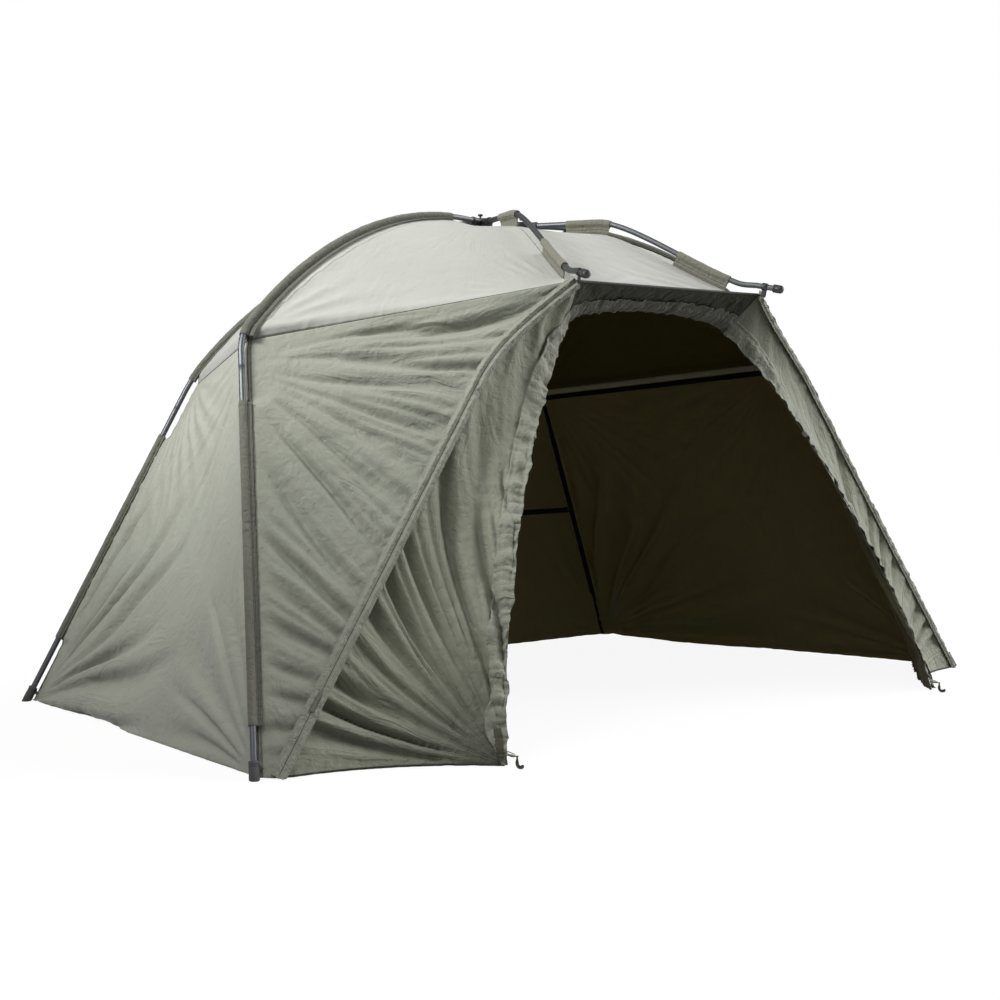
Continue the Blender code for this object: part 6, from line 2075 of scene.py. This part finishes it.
@dataclass
class Studio:
    """The camera, the floor and the light.

    heading and pitch turn the camera, in degrees, and lens is in millimetres. The floor has seen_colour to the
    camera, with a glow mixed in, and lit_colour to all else. world_low and world_high are the even light from
    the horizon and from straight above; each light has its direction, strength and width.
    """

    location: Place = (-3.729, -3.8446, 0.802)
    heading: float = 43.1
    pitch: float = -2.49
    lens: float = 65.0
    floor_half: float = 40.0
    seen_colour: Colour = (0.45, 0.45, 0.44)
    lit_colour: Colour = (0.10, 0.10, 0.095)
    floor_glow: float = 1.20
    glow_share: float = 0.76
    world_low: float = 0.144
    world_high: float = 0.576
    from_above: tuple = ((0.55, 0.10, -0.85), 0.8, 24.0)
    from_right: tuple = ((-0.86, 0.42, -0.30), 3.3, 60.0)
    lamp_place: Place = (-3.0, 0.25, 2.6)
    lamp_target: Place = (-0.5, 0.10, 1.36)
    lamp_cone: float = 62.0
    lamp_power: float = 455.0
    lamp_size: float = 0.45

    def camera(self) -> None:
        """Makes the camera at the photograph's place, looking slightly down."""
        data = bpy.data.cameras.new("view")
        data.lens = self.lens
        data.sensor_width = 36.0
        data.clip_end = 100.0
        made = link("view", data)
        made.location = self.location
        made.rotation_euler = (math.radians(90 + self.pitch), 0.0, -math.radians(self.heading))
        bpy.context.scene.camera = made

    def floor(self) -> None:
        """Makes the pale floor, which shows white to the camera and keeps a faint shadow."""
        corners = np.array(((-1, -1, 0), (1, -1, 0), (1, 1, 0), (-1, 1, 0))) * self.floor_half
        made = link("floor", mesh_of("floor", corners, np.array(((0, 1, 2, 3),))))
        paint = bpy.data.materials.new("floor")
        paint.use_nodes = True
        tree = paint.node_tree
        shader = tree.nodes["Principled BSDF"]
        shader.inputs["Roughness"].default_value = 0.9
        shader.inputs["Specular IOR Level"].default_value = 0.0
        glow = node(tree, "Emission", {"Color": (1.0, 1.0, 1.0, 1.0), "Strength": self.floor_glow})
        seen = node(tree, "LightPath")
        by_camera = seen.outputs["Is Camera Ray"]
        paler = mixed(tree, by_camera, (*self.lit_colour, 1.0), (*self.seen_colour, 1.0))
        tree.links.new(paler, shader.inputs["Base Color"])
        share = sum_of(tree, "MULTIPLY", by_camera, self.glow_share)
        share = sum_of(tree, "MAXIMUM", share, seen.outputs["Is Glossy Ray"])
        blend = node(tree, "MixShader", {0: share, 1: shader.outputs[0], 2: glow.outputs[0]})
        tree.links.new(blend.outputs[0], tree.nodes["Material Output"].inputs["Surface"])
        made.data.materials.append(paint)

    def light(self) -> None:
        """Makes the three lights, and the world: white to the camera, an even glow from above to the rest."""
        self.sun("key", *self.from_above)
        self.sun("right", *self.from_right)
        self.lamp()
        world = bpy.data.worlds.new("studio")
        bpy.context.scene.world = world
        world.use_nodes = True
        tree = world.node_tree
        even = tree.nodes["Background"]
        even.inputs["Color"].default_value = (1.0, 1.0, 1.0, 1.0)
        way = node(tree, "SeparateXYZ", {0: node(tree, "TexCoord").outputs["Generated"]})
        lit = ranged(tree, way.outputs[2], 0.0, 1.0, self.world_low, self.world_high)
        tree.links.new(lit, even.inputs["Strength"])
        white = node(tree, "Background", {"Color": (1.0, 1.0, 1.0, 1.0), "Strength": 1.0})
        seen = node(tree, "LightPath")
        direct = sum_of(tree, "MAXIMUM", seen.outputs["Is Camera Ray"], seen.outputs["Is Transmission Ray"])
        mix = node(tree, "MixShader", {0: direct, 1: even.outputs[0], 2: white.outputs[0]})
        tree.links.new(mix.outputs[0], tree.nodes["World Output"].inputs["Surface"])

    def lamp(self) -> None:
        """Makes a large soft spot lamp on the left that faces the roof, with a wide fading edge."""
        data = bpy.data.lights.new("left", "SPOT")
        data.spot_size = math.radians(self.lamp_cone)
        data.spot_blend = 1.0
        data.shadow_soft_size = self.lamp_size
        data.energy = self.lamp_power
        made = link("left", data)
        made.location = self.lamp_place
        way = Vector(self.lamp_target) - Vector(self.lamp_place)
        made.rotation_euler = way.to_track_quat("-Z", "Y").to_euler()

    @staticmethod
    def sun(name: str, way: Place, strength: float, angle: float) -> None:
        """Makes one distant light that shines along a direction."""
        data = bpy.data.lights.new(name, "SUN")
        data.energy = strength
        data.angle = math.radians(angle)
        link(name, data).rotation_euler = Vector(way).to_track_quat("-Z", "Y").to_euler()


def dress(shelter: Shelter) -> None:
    """Dresses the shelter, part by part."""
    roof, walls, hanging = Roof(shelter), Walls(shelter), Hanging(shelter)
    bindings, pegging = Bindings(shelter), Pegging(shelter)
    for side in Side:
        hanging.on_wing(roof.side_panel(side), side, f"{side.word}_side_roof")
        hanging.on_wing(roof.front_panel(side), side, f"{side.word}_front_roof")
        bindings.side_tapes(side, hanging.on_wing(walls.side_wall(side), side, f"{side.word}_side_wall"))
        hanging.on_wing(walls.front_panel(side), side, f"{side.word}_front_panel")
        door = hanging.on_wing(walls.door_panel(side), side, f"{side.word}_door_panel")
        bindings.door_band(side, door)
        bindings.hem(side, door)
        pegging.tab(side, door)
    hanging.across(roof.rear_panel(), "rear_roof", False)
    hanging.across(roof.brow_panel(), "brow_roof", True)
    rear = hanging.across(walls.rear_wall(), "rear_wall", False)
    header = hanging.across(walls.header(), "door_header", True)
    bindings.crown_band(header)
    bindings.seams()
    bindings.cross_tape(rear)
    bindings.limb_tapes()
    for trade in (Poles(shelter), Hub(shelter), Casings(shelter), Zips(shelter), pegging):
        trade.everything()


def main() -> None:
    """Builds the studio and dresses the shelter."""
    logging.basicConfig(level=logging.INFO, format="%(message)s")
    bpy.context.scene.view_settings.view_transform = "Standard"
    studio = Studio()
    studio.camera()
    studio.floor()
    studio.light()
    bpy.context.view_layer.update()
    pivot = next(joint for joint in frame["joints"] if joint["name"] == "left_fold")
    plan = Plan(middle_y=float(pivot["pos_m"][1]))
    dress(Shelter(plan, Seams(plan), Finishes()))


if __name__ == "__main__":
    main()
